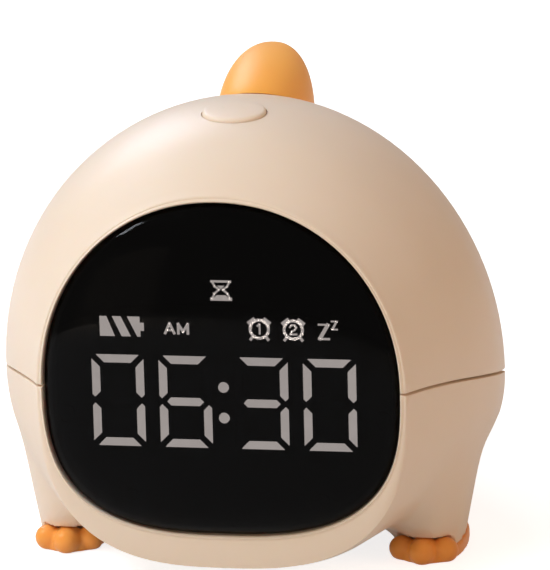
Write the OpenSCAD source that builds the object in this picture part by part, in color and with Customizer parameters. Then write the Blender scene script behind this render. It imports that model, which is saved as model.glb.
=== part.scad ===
// Dinosaur-shaped alarm clock with a night light in its back spikes.
// Sizes are in millimetres. Z is up, the window faces -Y, and the soles stand at Z = 0.
// Depths are worked out from the window's front, at y = 0, to the tail tip, at y = body_l.

/* [Body] */
// Length from the window's front to the tail tip
body_l = 130; // [126:1:134]
// Width across the widest part of the body
body_w = 117.6; // [115:0.2:122]
// Height of the back above the table, without the spikes
body_h = 106.2; // [104:0.2:109]
// Wall of both shells
wall = 2.2; // [2:0.1:2.6]
// Gap between the two shells at the seam
seam_gap = 0.2; // [0.1:0.05:0.4]
// Lean of the front, as a share of its height
lean = 0.03; // [0.01:0.005:0.04]
// Radius that rounds the tail tip
tail_r = 6; // [4:0.5:8]

/* [Window] */
// How far the window's sides stand in from the body's widest side
lens_in = 17.8; // [17.6:0.1:19.3]
// Height of the window's top edge above the table
lens_top = 90.1; // [86:0.1:90.5]
// Height at which the window is widest
lens_mid = 47; // [45:0.5:48]
// Height of the window's bottom edge above the table
lens_low = 12.7; // [11:0.1:15]
// How far the window's middle stands out before its edge
lens_bulge = 8; // [7:0.2:9.4]
// Thickness of the window
lens_t = 2; // [1.6:0.1:2.4]
// Depth of the window's straight rim
lens_rim = 3.6; // [3:0.2:5]
// Clearance between the window and the shells
lens_gap = 0.15; // [0.1:0.05:0.3]

/* [Legs and feet] */
// How far each leg's middle stands in from the body's widest side
leg_in = 16.3; // [14.8:0.5:17.8]
// Depth of the legs' middle behind the window's front
leg_y = 40.5; // [38:0.5:43]
// Width of a leg
leg_w = 16; // [14:0.5:18]
// Length of a leg from front to back
leg_l = 28; // [25:0.5:31]
// Height of the sole under each leg
sole_h = 3; // [2.5:0.1:4]
// Height of the toes
toe_h = 5.8; // [5:0.2:8]

/* [Top button] */
// Width of the button's cap, left to right
cap_w = 14.8; // [12:0.2:16]
// Length of the button's cap, front to back
cap_l = 11.6; // [10:0.2:13]
// Depth of the cap's middle behind the window's front
cap_y = 33.4; // [31:0.2:36]
// Travel of the button
cap_travel = 0.6; // [0.4:0.1:0.8]
// Clearance round the cap
cap_gap = 0.25; // [0.2:0.05:0.4]

/* [Setting keys] */
// Radius of a key under the belly
key_r = 3.4; // [3:0.1:3.6]
// Distance between neighbouring keys
key_pitch = 14; // [13.4:0.2:15]
// Depth of the row of keys behind the window's front
key_y = 66; // [65:0.5:67]
// Travel of a key
key_travel = 0.4; // [0.3:0.1:0.6]
// Clearance round a key
key_gap = 0.3; // [0.2:0.05:0.4]

/* [Display] */
// Width of one digit, in percent of the window's width
digit_share = 14.65; // [14.15:0.05:15.6]
// Height of one digit
digit_h = 21.4; // [20:0.2:23]
// Width of a lit bar
bar_w = 1.8; // [1.6:0.1:2.4]
// Height of the digits' middle above the table
digit_z = 42.7; // [40:0.1:43.5]
// Distance between the two digits of a pair, in percent of the window's width
digit_step = 19; // [18.3:0.1:19.7]
// Distance between the pairs' middles, in percent of the window's width
pair_step = 40.6; // [40.2:0.1:41.9]
// Diameter of the colon's dots
dot_d = 2.4; // [2:0.1:3]

/* [Electronics] */
// Thickness of the circuit boards
board_t = 1.6; // [1.2:0.1:1.6]
// Height of the main board's underside
board_z = 20; // [19.6:0.2:21]
// Length of the battery, left to right
cell_l = 54; // [46:1:58]
// Width of the battery, front to back
cell_w = 32; // [28:1:33]
// Thickness of the battery
cell_t = 8; // [6:0.5:8.4]
// Radius of the speaker
speaker_r = 12; // [10:0.5:12.5]
// Width of the charging socket
port_w = 9; // [8.6:0.1:9.2]
// Height of the charging socket
port_h = 3.2; // [3:0.1:3.4]

/* [Screws] */
// Radius of the case screws
screw_r = 1.3; // [1.1:0.1:1.4]
// Radius of the small screws on the boards
small_r = 0.9; // [0.8:0.1:1]

/* [Hidden] */
$fn = 48;

// Colours
cream = "#EBDCC8";
orange = "#F2A64C";
smoke = "#101114";
black = "#1B1B1D";
board_green = "#1F5B3A";
steel = "#B9BCC0";
lit = "#CFCBC2";

// ---- The body's form ------------------------------------------------------------------------
lens_w = body_w - 2 * lens_in;
// One row for each rib of the body, from the front to the tail, in percent:
// [depth of body_l, half width of body_w / 2, back of body_h, belly of body_h, seam of body_h]
ribs = [
    [5.4, 72.8, 86.8, 4.4, 44.2],
    [7.7, 75.8, 89.2, 3.6, 44.1],
    [10.8, 80.0, 92.1, 3.3, 43.9],
    [16.9, 87.9, 96.4, 3.0, 43.1],
    [24.6, 95.4, 99.2, 2.8, 41.4],
    [33.1, 99.8, 100, 2.6, 39.2],
    [43.8, 99.0, 97.9, 2.4, 36.1],
    [53.8, 92.0, 91.7, 2.4, 31.9],
    [64.6, 77.4, 80.2, 2.6, 26.2],
    [72.3, 64.4, 67.2, 3.0, 21.6],
    [78.5, 53.0, 52.8, 4.0, 17.9],
    [83.8, 42.7, 36.2, 5.1, 15.1],
    [90.0, 31.5, 25.8, 6.2, 12.8],
    [95.4, 22.9, 21.1, 7.5, 12.1],
    [100, 17.1, 18.7, 9.1, 12.6]
];
last = len(ribs) - 1;
function rib_slope(i, c) =
    let (a = max(i - 1, 0), b = min(i + 1, last))
    (ribs[b][c] - ribs[a][c]) / (ribs[b][0] - ribs[a][0]);
function rib_below(s, i = 0) = (i >= last - 1 || s < ribs[i + 1][0]) ? i : rib_below(s, i + 1);
function ease_a(t) = (1 + 2 * t) * (1 - t) * (1 - t);
function ease_b(t) = t * (1 - t) * (1 - t);
// Column c of the ribs at depth y, on a smooth curve through the rows
function rib_at(y, c) =
    let (s = 100 * y / body_l, i = rib_below(s), h = ribs[i + 1][0] - ribs[i][0])
    let (t = (s - ribs[i][0]) / h)
    ease_a(t) * ribs[i][c] + ease_b(t) * h * rib_slope(i, c)
    + ease_a(1 - t) * ribs[i + 1][c] - ease_b(1 - t) * h * rib_slope(i + 1, c);
function half_w(y) = rib_at(y, 1) / 100 * body_w / 2;
function back(y) = rib_at(y, 2) / 100 * body_h;
function belly(y) = rib_at(y, 3) / 100 * body_h;
function seam(y) = rib_at(y, 4) / 100 * body_h;
front = ribs[0][0] / 100 * body_l;
rim_back = lens_bulge + lens_rim;

// The belly is squarer at the front than behind
square_front = 2.8;
square_back = 2.3;
fade_l = 30;
function squareness(y) =
    square_back + (square_front - square_back) * max(0, 1 - (y - front) / fade_l);
// A section's point at angle a: half width w, up and down from z, with the lower half squared by n
// and the upper half by top
function section_pt(w, up, down, z, n, a, top = 2) =
    let (e = 2 / (sin(a) < 0 ? n : top))
    [
        w * sign(cos(a)) * pow(abs(cos(a)), e),
        z + (sin(a) < 0 ? -down : up) * pow(abs(sin(a)), e)
    ];
// The front leans back, and the lean fades out behind the window
lean_fade = 40;
function leaned(y, z) =
    y + lean * (z - lens_mid) * (y < rim_back ? 1 : max(0, 1 - (y - rim_back) / lean_fade));
// Growth of a wall's depth in a section where the surface slopes
dy = 0.5;
function slant(fall) = min(2.6, sqrt(1 + fall * fall));
function slope_w(y) = (half_w(y + dy) - half_w(y - dy)) / dy / 2;
function slope_back(y) = (back(y + dy) - back(y - dy)) / dy / 2;
function slope_belly(y) = (belly(y + dy) - belly(y - dy)) / dy / 2;
// Rounding of the tail tip, 1 until its radius starts at depth e - tail_r
least_tip = 0.08;
function tip_share(y, e) =
    y <= e - tail_r ? 1 : max(least_tip, sqrt(max(0, 1 - pow((y - e + tail_r) / tail_r, 2))));
// A point of the body's skin, t below its surface, on the lower side where angle a is negative
function skin_pt(y, a, t, e, drop) =
    let (c = tip_share(y, e), z = seam(y) - drop)
    let (w = (half_w(y) - t * slant(slope_w(y))) * c)
    let (up = (back(y) - t * slant(slope_back(y)) - z) * c)
    let (down = (z - belly(y) - t * slant(slope_belly(y))) * c)
    let (p = section_pt(w, up, down, z, squareness(y), a))
    [p[0], leaned(y, p[1]), p[1]];
// A point on the edge of the window's opening, grown by g
window_top = 2.08;
function window_pt(a, g, drop) =
    let (z = lens_mid - drop)
    section_pt(lens_w / 2 + g, lens_top + g - z, z - lens_low + g, z, square_front, a, window_top);
function opening_pt(y, a, drop) =
    let (p = window_pt(a, lens_gap, drop))
    [p[0], leaned(y, p[1]), p[1]];

// Heights of the body's skin above a spot (x, y)
function back_z(x, y) = seam(y) + (back(y) - seam(y)) * sqrt(max(0, 1 - pow(x / half_w(y), 2)));
function belly_z(x, y) =
    let (n = squareness(y))
    seam(y) - (seam(y) - belly(y)) * pow(max(0, 1 - pow(abs(x) / half_w(y), n)), 1 / n);
// Half width of the body's skin at depth y and height z
function side_x(y, z) =
    let (n = z < seam(y) ? squareness(y) : 2, r = z < seam(y) ? seam(y) - belly(y) : back(y) - seam(y))
    half_w(y) * pow(max(0, 1 - pow(abs(z - seam(y)) / r, n)), 1 / n);

// ---- Legs -----------------------------------------------------------------------------------
leg_x = body_w / 2 - leg_in;
// A leg is drawn down from the belly: 1 inside its footprint, easing to 0 over its flare
leg_flare = 0.42;
leg_n = 2.4;
// The leg's underside lifts over the toes
toe_back = leg_y - leg_l / 2 + 6.5;
toe_gap = 0.06 * toe_h;
function smooth(t) = let (u = min(1, max(0, t))) u * u * (3 - 2 * u);
function leg_under(y) = sole_h + (toe_h + toe_gap - sole_h) * smooth((toe_back - y) / 3);
function leg_share(x, y, t) =
    let (rx = leg_w / 2 - t, ry = leg_l / 2 - t)
    let (d = pow(pow(abs(abs(x) - leg_x) / rx, leg_n) + pow(abs(y - leg_y) / ry, leg_n), 1 / leg_n))
    smooth(1 - (d - 1) / (leg_flare * (leg_w / 2) / rx));
function with_leg(p, t) = [p[0], p[1], p[2] - max(0, p[2] - leg_under(p[1]) - t) * leg_share(p[0], p[1], t)];

// ---- Lofts ----------------------------------------------------------------------------------
// A closed solid through rings of equal length; the end rings are closed strip by strip. The last
// quad of a ring is cut the other way, so that both halves have the same face along the seam
function ring_faces(m, j) = [
    for (i = [0:m - 1], half = [0, 1])
        let (p = j * m + i, q = j * m + (i + 1) % m)
        i == m - 1
            ? (half == 0 ? [p, q, p + m] : [q, q + m, p + m])
            : (half == 0 ? [p, q, q + m] : [p, q + m, p + m])
];
function strip_faces(m, base, turned) = [
    for (i = [0:m / 2 - 2], half = [0, 1])
        let (f = half == 0 ? [i, m - 1 - i, m - 2 - i] : [i, m - 2 - i, i + 1])
        [for (k = [0:2]) base + f[turned ? 2 - k : k]]
];
module loft(rings) {
    m = len(rings[0]);
    n = len(rings);
    polyhedron(
        points = [for (r = rings, p = r) p],
        faces = concat(
            [for (j = [0:n - 2], f = ring_faces(m, j)) f],
            strip_faces(m, 0, false),
            strip_faces(m, (n - 1) * m, true)
        ),
        convexity = 10
    );
}

// Depths of a shell's rings: at the lip, n steps past the legs, then to the tail and round its tip
legs_end = leg_y + leg_l / 2 + 8;
tail_steps = 14;
tip_start = body_l - tail_r;
function skin_depths(n) = concat(
    [front, front + 1.6, front + 3.2],
    [for (i = [0:n]) rim_back + (legs_end - rim_back) * i / n],
    [for (i = [1:tail_steps]) legs_end + (tip_start - legs_end) * i / tail_steps],
    [for (i = [1:4]) tip_start + tail_r * sin(i * 22.5)]
);
// The lining stops short of the tail tip
lining_end = body_l - 2 * wall;
lining_turn = 0.8 * body_l;
lining_pace = (lining_end - lining_turn) / (body_l - lining_turn);
function lining_y(y) = y < lining_turn ? y : lining_turn + (y - lining_turn) * lining_pace;
// The lip's crest lies between the opening and the skin
crest = 0.6;
crest_out = 0.9;
function mix(p, q, t) = p + (q - p) * t;

// Angle at share t of a half ring from a0; the lower half has more points over the legs
leg_turn = 6;
function turn(a0, t) = a0 + 180 * t + (a0 < 0 ? leg_turn * sin(720 * t) : 0);
// Rings of a half shell from the angle a0 in k steps; drop lowers the lower half's seam edge
function shell_ring(y, a0, k, drop) =
    let (yi = lining_y(y), legs = a0 < 0)
    concat(
        [for (i = [0:k]) let (p = skin_pt(y, turn(a0, i / k), 0, body_l, drop)) legs ? with_leg(p, 0) : p],
        [
            for (i = [k:-1:0])
                let (a = turn(a0, i / k))
                y <= rim_back
                    ? opening_pt(y, a, drop)
                    : (let (p = skin_pt(yi, a, wall, lining_end, drop)) legs ? with_leg(p, wall) : p)
        ]
    );
function lip_ring(a0, k, drop) = concat(
    [
        for (i = [0:k])
            let (a = turn(a0, i / k))
            mix(opening_pt(front - crest_out, a, drop), skin_pt(front, a, 0, body_l, drop), crest)
            - [0, crest_out * crest, 0]
    ],
    [for (i = [k:-1:0]) opening_pt(front - crest_out / 2, turn(a0, i / k), drop)]
);
module shell(a0, k, n, drop) {
    loft(concat([lip_ring(a0, k, drop)], [for (y = skin_depths(n)) shell_ring(y, a0, k, drop)]));
}

// ---- Places ---------------------------------------------------------------------------------
// The whole clock is centred between its front and its tail tip
module placed() {
    translate([0, -body_l / 2, 0]) children();
}
// Behind the window everything leans with it, about the middle of its back edge
module leaning() {
    translate([0, rim_back, lens_mid]) rotate([-atan(lean), 0, 0])
        translate([0, -rim_back, -lens_mid]) children();
}
// A flat shape drawn in x and z, from depth y0 to y1
module upright(y0, y1) {
    translate([0, y1, 0]) rotate([90, 0, 0]) linear_extrude(y1 - y0) children();
}
module oval(w, l) {
    scale([w / l, 1]) circle(d = l, $fn = 64);
}
module pin(x, y, z0, z1, r) {
    translate([x, y, z0]) cylinder(r = r, h = z1 - z0);
}
module in_pairs(x) {
    for (s = [-1, 1]) translate([s * x, 0, 0]) children();
}
// A pan-head screw that points down the z axis, with its seat at z = 0
module screw(r, l) {
    translate([0, 0, -l]) cylinder(r = r, h = l);
    cylinder(r = 2 * r, h = 1.2 * r);
}

// Case screws: four posts that meet a little below the seam, each with a well from below
case_spots = [[cell_l / 2 + 4, 25], [38, 72]];
post_r = 3.4;
screw_fit = 0.05;
well_r = 2 * screw_r + 0.3;
well_roof = 5;
screw_bite = 8;
function post_seam(s) = seam(s[1]) - 2;
function well_z(s) = post_seam(s) - well_roof;
// What stands on the lower shell starts this far inside its skin, the legs' skin included
bury = 0.5;
function skin_z(x, y) = with_leg([x, y, belly_z(x, y)], 0)[2];
function low_edge(x, y, r) = max([for (t = [-1:0.5:1]) skin_z(x + t * r, y)]) + bury;
function high_edge(x, y, r) = min(back_z(x + r, y - r), back_z(x + r, y + r)) - bury;

// ---- Display stack --------------------------------------------------------------------------
mask_t = 0.8;
mask_y = rim_back - mask_t;
frame_t = 2;
frame_y = rim_back;
housing_back = frame_y + 5.7;
digit_w = digit_share / 100 * lens_w;
digit_pitch = digit_step / 100 * lens_w;
pair_pitch = pair_step / 100 * lens_w;
// Light wells for the small signs in a row above the digits, and for one more above them
row_share = [[-28.2, 13.2], [-12.9, 8], [10.5, 6.6], [20, 6.6], [29.8, 6.6]];
sign_row = row_share * lens_w / 100;
sign_z = digit_z + digit_h / 2 + 6.9;
sign_h = 5.2;
icon_low = sign_z + 6.4;
icon_high = icon_low + 4.8;
housing_w = pair_pitch + digit_pitch + digit_w + 2.2;
housing_low = digit_z - digit_h / 2 - 3.4;
housing_high = sign_z + sign_h / 2 + 1.6;
tab_w = 21;
tab_top = icon_high + 2;
flange = 1;
fit = 0.1;
head_clear = 0.6;
// Screws that hold the frame to the lower shell, and the housing's screws behind it, as [x, z]
frame_spots = [
    [lens_w / 2 - lens_t - 2 * small_r - head_clear, lens_mid - 7.5],
    [0.27 * lens_w, lens_low + 7.2]
];
housing_spots = [for (x = [-7.4, 7.4]) [x, tab_top - 4], [0, housing_low + 2.6]];
led_t = 0.6;
module window_plate(grow, y0, y1) {
    leaning() upright(y0, y1) polygon([for (i = [0:5:355]) window_pt(i, grow, 0)]);
}
// The seven bars of a digit, as [kind, side, up]: 0 along an end, 1 along a side, 2 in the middle
corner_gap = 1.1;
mid_gap = 0.75;
side = digit_w / 2 - bar_w / 2;
half_bar = (digit_h / 2 - bar_w / 2) / 2;
bars = [[0, 0, 1], [1, 1, 1], [1, 1, -1], [0, 0, -1], [1, -1, -1], [1, -1, 1], [2, 0, 0]];
function bar_middle(b) = [b[1] * side, b[2] * half_bar * (b[0] == 0 ? 2 : 1)];
// Which bars are lit for each figure
figures = [
    [1, 1, 1, 1, 1, 1, 0],
    [1, 0, 1, 1, 1, 1, 1],
    [1, 1, 1, 1, 0, 0, 1],
    [1, 1, 1, 1, 1, 1, 0]
];
digit_xs = [
    for (s = [-1, 1], t = [-1, 1])
        s * pair_pitch / 2 + t * digit_pitch / 2
];
dot_rise = 3.6;
// A bar of each kind on the upper right of a digit, with slanted ends that face its neighbours
module bar(kind, grow) {
    w = digit_w / 2 + grow;
    h = digit_h / 2 + grow;
    t = bar_w + 2 * grow;
    c = corner_gap - sqrt(2) * grow;
    m = mid_gap - sqrt(2) * grow;
    tip = digit_w / 2 - bar_w + sqrt(2) * grow;
    if (kind == 0) polygon([[c - w, h], [w - c, h], [w - c - t, h - t], [c + t - w, h - t]]);
    if (kind == 1)
        polygon([[w, h - c], [w, m + t / 3], [w - t / 3, m], [w - t, m + 2 * t / 3], [w - t, h - c - t]]);
    if (kind == 2) for (s = [0, 1]) mirror([0, s])
        polygon([[-tip, 0], [t / 2 - tip, t / 2], [tip - t / 2, t / 2], [tip, 0]]);
}
module bar_set(want, grow) {
    for (d = [0:3], b = [0:6])
        if (figures[d][b] == want)
            translate([digit_xs[d], digit_z])
                mirror([bars[b][1] < 0 ? 1 : 0, 0]) mirror([0, bars[b][2] < 0 ? 1 : 0])
                    bar(bars[b][0], grow);
}
module dots(grow) {
    for (s = [-1, 1]) translate([0, digit_z + s * dot_rise]) circle(d = dot_d + 2 * grow);
}
module sign_wells(grow) {
    for (s = sign_row)
        translate([s[0], sign_z]) square([s[1] + 2 * grow, sign_h + 2 * grow], center = true);
    translate([0, (icon_low + icon_high) / 2])
        square([5 + 2 * grow, icon_high - icon_low + 2 * grow], center = true);
}

// How far a cut runs past the skin on each side
cut_in = 8;
module upper_shell() {
    color(cream) placed() {
        difference() {
            union() {
                shell(0, 28, 18, 0);
                for (s = case_spots) in_pairs(s[0])
                    pin(0, s[1], post_seam(s), high_edge(s[0], s[1], post_r), post_r);
                in_pairs(button_post_x)
                    pin(0, cap_y, button_board_top, high_edge(button_post_x, cap_y, small_post), small_post);
                along_spike(spikes[0]) for (t = light_posts)
                    pin(0, t, board_t - light_drop, -light_sag(t) - wall / 2, small_post);
            }
            translate([0, cap_y, back(cap_y) - cut_in]) linear_extrude(2 * cut_in) cap_outline(cap_gap);
            for (k = spikes)
                along_spike(k) pin(0, 0, -cut_in, cut_in, k[5] + stem_gap);
            for (s = case_spots) in_pairs(s[0])
                pin(0, s[1], 0, post_seam(s) + screw_bite, screw_r + screw_fit);
            in_pairs(button_post_x) pin(0, cap_y, 0, button_board_top + 6, small_r + screw_fit);
            along_spike(spikes[0]) for (t = light_posts)
                pin(0, t, -light_drop - 1, board_t - light_drop + 4.5, small_r + screw_fit);
        }
    }
}

// Lugs of the lower shell behind the window's frame: one from its side, one from its floor
lug_l = 5.4;
lug_h = 5.2;
lug_gap = 0.1;
function lug_y(s) = leaned(frame_y + frame_t, s[1]) + lug_gap;
module side_lug(s) {
    y0 = lug_y(s);
    y1 = y0 + lug_l;
    low = s[1] - lug_h / 2;
    x0 = housing_w / 2 + flange + 2 * lug_gap;
    translate([0, 0, low]) linear_extrude(lug_h)
        polygon([[x0, y0], [side_x(y0, low) - bury, y0], [side_x(y1, low) - bury, y1], [x0, y1]]);
}
module floor_lug(s) {
    y0 = lug_y(s);
    low = low_edge(s[0], y0, lug_h / 2);
    translate([s[0] - lug_h / 2, y0, low]) cube([lug_h, lug_l, s[1] + lug_h / 2 - low]);
}
module lug_hole(s) {
    leaning() translate([s[0], frame_y - 1, s[1]]) rotate([-90, 0, 0])
        cylinder(r = small_r + screw_fit, h = 8);
}
module on_both_sides() {
    for (s = [0, 1]) mirror([s, 0, 0]) children();
}

// ---- Lower shell ----------------------------------------------------------------------------
rib_t = 1.6;
cell_y = 36.5;
// The battery lies just above the belly's lining, where its front corners come closest to it
cell_rise = 0.7;
cell_z = belly_z(cell_l / 2, cell_y - cell_w / 2) + wall + cell_rise;
board_posts = [[cell_l / 2 + 3, 38], [30, 72]];
small_post = 2.3;
key_xs = [-1.5, -0.5, 0.5, 1.5];
collar_r = key_r + key_gap + 1;
collar_top = 7.8;
key_post_x = key_pitch;
speaker_y = 88;
speaker_z = 8.6;
ear_x = speaker_r + 2.8;
ear_r = 2.4;
port_y = 62;
port_z = board_z + board_t + port_h / 2;
pocket_w = port_w + 3.6;
pocket_h = port_h + 3.8;
port_x = side_x(port_y, port_z - pocket_h / 2) - wall - 0.6;
module lower_shell() {
    color(cream) placed() {
        difference() {
            union() {
                shell(-180, 44, 18, seam_gap);
                for (s = case_spots) in_pairs(s[0])
                    pin(0, s[1], low_edge(s[0], s[1], post_r), post_seam(s), post_r);
                for (s = board_posts) in_pairs(s[0])
                    pin(0, s[1], low_edge(s[0], s[1], small_post), board_z, small_post);
                for (x = key_xs)
                    pin(x * key_pitch, key_y, low_edge(abs(x) * key_pitch, key_y, 0), collar_top, collar_r);
                in_pairs(key_post_x) pin(0, key_y, low_edge(key_post_x, key_y, 0), key_board_z, 2);
                battery_ribs();
                speaker_seat();
                on_both_sides() {
                    side_lug(frame_spots[0]);
                    floor_lug(frame_spots[1]);
                }
            }
            for (s = case_spots) in_pairs(s[0]) {
                pin(0, s[1], 0, well_z(s), well_r);
                pin(0, s[1], 0, seam(s[1]) + 2, screw_r + 0.2);
            }
            for (s = board_posts) in_pairs(s[0]) pin(0, s[1], board_z - 6, board_z + 1, small_r + screw_fit);
            for (x = key_xs) pin(x * key_pitch, key_y, 0, collar_top + 1, key_r + key_gap);
            in_pairs(key_post_x) pin(0, key_y, key_board_z - 5, key_board_z + 1, small_r + screw_fit);
            in_pairs(ear_x) pin(0, speaker_y, speaker_z - 3, speaker_z + 1, small_r + screw_fit);
            grille();
            translate([-body_w / 2, port_y, port_z])
                cube([2 * (body_w / 2 - port_x), pocket_w, pocket_h], center = true);
            on_both_sides() for (s = frame_spots) lug_hole(s);
        }
    }
}
module battery_ribs() {
    y0 = cell_y - cell_w / 2 + 1;
    y1 = cell_y + cell_w / 2 - 1;
    z0 = low_edge(18, y0, 2);
    for (x = [-18, 18])
        translate([x - rib_t / 2, y0, z0]) cube([rib_t, y1 - y0, cell_z - z0]);
    for (x = [-18, 18], y = [cell_y - cell_w / 2 - rib_t - 0.3, cell_y + cell_w / 2 + 0.3])
        translate([x - 4, y, low_edge(22, y, 0)]) cube([8, rib_t, cell_z + 4 - low_edge(22, y, 0)]);
}
module speaker_seat() {
    difference() {
        union() {
            pin(0, speaker_y, belly(speaker_y + speaker_r) + bury, speaker_z, speaker_r);
            in_pairs(ear_x) pin(0, speaker_y, low_edge(ear_x, speaker_y, ear_r), speaker_z, ear_r);
        }
        pin(0, speaker_y, 0, speaker_z + 1, speaker_r - 2);
    }
}
slot_w = 1.6;
slots = 5;
module grille() {
    for (i = [0:slots - 1]) {
        x = (i - (slots - 1) / 2) * 2.4 * slot_w;
        l = sqrt(pow(speaker_r - 4, 2) - x * x);
        translate([x - slot_w / 2, speaker_y - l, 0]) cube([slot_w, 2 * l, speaker_z - 1]);
    }
}

// ---- Window and display ---------------------------------------------------------------------
dome_steps = 9;
function lens_ring(share, y, inset) = [
    for (i = [0:63])
        let (p = window_pt(i * 360 / 64, -inset, 0), z = lens_mid + (p[1] - lens_mid) * share)
        [p[0] * share, leaned(y, z), z]
];
function dome_share(i) = sin(90 * i / dome_steps);
function dome_y(i) = lens_bulge * (1 - cos(90 * i / dome_steps));
module display_lens() {
    color(smoke) placed()
        lens_loft(concat(
            [for (i = [0.3, for (j = [1:dome_steps]) j]) lens_ring(dome_share(i), dome_y(i), 0)],
            [lens_ring(1, rim_back, 0), lens_ring(1, rim_back, lens_t)],
            [for (i = [dome_steps:-1:1]) lens_ring(dome_share(i), dome_y(i) + lens_t, lens_t)],
            [lens_ring(dome_share(0.3), dome_y(0.3) + lens_t, lens_t)]
        ));
}
// The lens's rings end in two flat discs
module lens_loft(rings) {
    m = len(rings[0]);
    n = len(rings);
    polyhedron(
        points = [for (r = rings, p = r) p],
        faces = concat(
            [for (j = [0:n - 2], f = ring_faces(m, j)) f],
            [[for (i = [m - 1:-1:0]) i], [for (i = [0:m - 1]) (n - 1) * m + i]]
        ),
        convexity = 6
    );
}
module display_frame() {
    color(black) placed() difference() {
        window_plate(-0.2, frame_y, frame_y + frame_t);
        leaning() upright(frame_y - 1, frame_y + frame_t + 1)
            housing_outline(fit);
        on_both_sides() for (s = frame_spots) lug_hole(s);
    }
}
module housing_outline(grow) {
    translate([-housing_w / 2 - grow, housing_low - grow])
        square([housing_w + 2 * grow, housing_high - housing_low + 2 * grow]);
    translate([-tab_w / 2 - grow, housing_high - 1])
        square([tab_w + 2 * grow, tab_top - housing_high + 1 + grow]);
}
screw_room = 2.4;
module segment_mask() {
    color(black) placed() difference() {
        window_plate(-lens_t - 0.4, mask_y, mask_y + mask_t);
        leaning() upright(mask_y - 1, mask_y + mask_t + 1) {
            bar_set(1, fit);
            bar_set(0, fit);
            dots(fit);
            sign_wells(0);
        }
        on_both_sides() for (s = frame_spots)
            translate([s[0], mask_y - 2, s[1]]) rotate([-90, 0, 0]) cylinder(r = screw_room, h = 6);
    }
}
module light_housing() {
    color(black) placed() leaning() difference() {
        union() {
            upright(frame_y, housing_back) housing_outline(0);
            upright(frame_y + frame_t + fit, frame_y + frame_t + fit + 1) housing_outline(flange);
        }
        upright(frame_y - 1, housing_back + 1) {
            bar_set(1, fit);
            bar_set(0, fit);
            dots(fit);
            sign_wells(0);
        }
        for (s = housing_spots) translate([s[0], housing_back - 4, s[1]]) rotate([-90, 0, 0])
            cylinder(r = small_r + screw_fit, h = 5);
    }
}
bars_back = housing_back - led_t - 0.3;
module lit_bars() {
    color(lit) placed() leaning() upright(mask_y, bars_back) {
        bar_set(1, 0);
        dots(0);
    }
}
module dark_bars() {
    color(smoke) placed() leaning() upright(mask_y, bars_back) bar_set(0, 0);
}
module display_board() {
    color(board_green) placed() leaning() difference() {
        upright(housing_back, housing_back + board_t) housing_outline(0);
        for (s = housing_spots) translate([s[0], housing_back - 1, s[1]]) rotate([-90, 0, 0])
            cylinder(r = small_r + 0.2, h = 5);
    }
}
module display_leds() {
    color("white") placed() leaning() upright(housing_back - led_t, housing_back) {
        for (d = [0:3], b = [0:6])
            translate([digit_xs[d], digit_z] + bar_middle(bars[b])) square([1.2, 1.2], center = true);
        for (s = [-1, 1]) translate([0, digit_z + s * dot_rise]) square(1.2, center = true);
        for (s = sign_row) translate([s[0], sign_z]) square([2, 1.2], center = true);
        translate([0, (icon_low + icon_high) / 2]) square(1.2, center = true);
    }
}
plug_w = 14;
plug_h = 4;
plug_z = 36;
module display_plug() {
    color("ivory") placed() leaning()
        translate([-plug_w / 2, housing_back + board_t, plug_z]) cube([plug_w, 3, plug_h]);
}
module frame_screws() {
    color(steel) placed() on_both_sides() leaning() for (s = frame_spots)
        translate([s[0], frame_y, s[1]]) rotate([90, 0, 0]) screw(small_r, 6);
}
module housing_screws() {
    color(steel) placed() leaning() for (s = housing_spots)
        translate([s[0], housing_back + board_t, s[1]]) rotate([-90, 0, 0]) screw(small_r, 5);
}

// ---- Top button -----------------------------------------------------------------------------
cap_rise = 0.4;
cap_dome = 42;
cap_lean = atan(slope_back(cap_y));
flange_w = 1.2;
// The flange keeps clear of the back's lining where that is lowest, at its front edge
flange_clear = 0.6;
flange_top = back(cap_y - cap_l / 2 - flange_w) - wall - flange_clear;
flange_t = 1.2;
stem_r = 2;
stem_low = flange_top - flange_t - 3.4;
// A switch's plunger reaches into its body, which keeps clear of what presses it
plunger_l = 2;
plunger_r = 1.4;
plunger_fit = 0.08;
switch_clear = 0.2;
switch_h = 3.4;
switch_w = 6;
button_board_top = stem_low - cap_travel - switch_clear - switch_h;
button_post_x = 12.2;
button_board_l = 30;
button_board_w = 12;
module cap_outline(grow) {
    oval(cap_w + 2 * grow, cap_l + 2 * grow);
}
module top_button() {
    color(cream) placed() translate([0, cap_y, 0]) {
        intersection() {
            translate([0, 0, flange_top - 0.4]) linear_extrude(20) cap_outline(0);
            translate([0, 0, back(cap_y) + cap_rise]) rotate([cap_lean, 0, 0]) translate([0, 0, -cap_dome])
                sphere(r = cap_dome, $fn = 96);
        }
        translate([0, 0, flange_top - flange_t]) linear_extrude(flange_t) cap_outline(flange_w);
        pin(0, 0, stem_low, flange_top - flange_t + 0.2, stem_r);
    }
}
module top_plunger() {
    color(black) placed() pin(0, cap_y, stem_low - plunger_l, stem_low, plunger_r);
}
// A switch that stands on z = 0 and takes its plunger from above
module switch_body() {
    difference() {
        translate([-switch_w / 2, -switch_w / 2, 0]) cube([switch_w, switch_w, switch_h]);
        translate([0, 0, switch_h + switch_clear - plunger_l])
            cylinder(r = plunger_r + plunger_fit, h = plunger_l);
    }
}
module top_switch() {
    color(steel) placed() translate([0, cap_y, button_board_top]) switch_body();
}
module button_board() {
    color(board_green) placed() difference() {
        translate([-button_board_l / 2, cap_y - button_board_w / 2, button_board_top - board_t])
            cube([button_board_l, button_board_w, board_t]);
        in_pairs(button_post_x) pin(0, cap_y, button_board_top - 4, button_board_top + 1, small_r + 0.2);
    }
}
module button_screws() {
    color(steel) placed() in_pairs(button_post_x)
        translate([0, cap_y, button_board_top - board_t]) mirror([0, 0, 1]) screw(small_r, 6);
}

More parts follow.
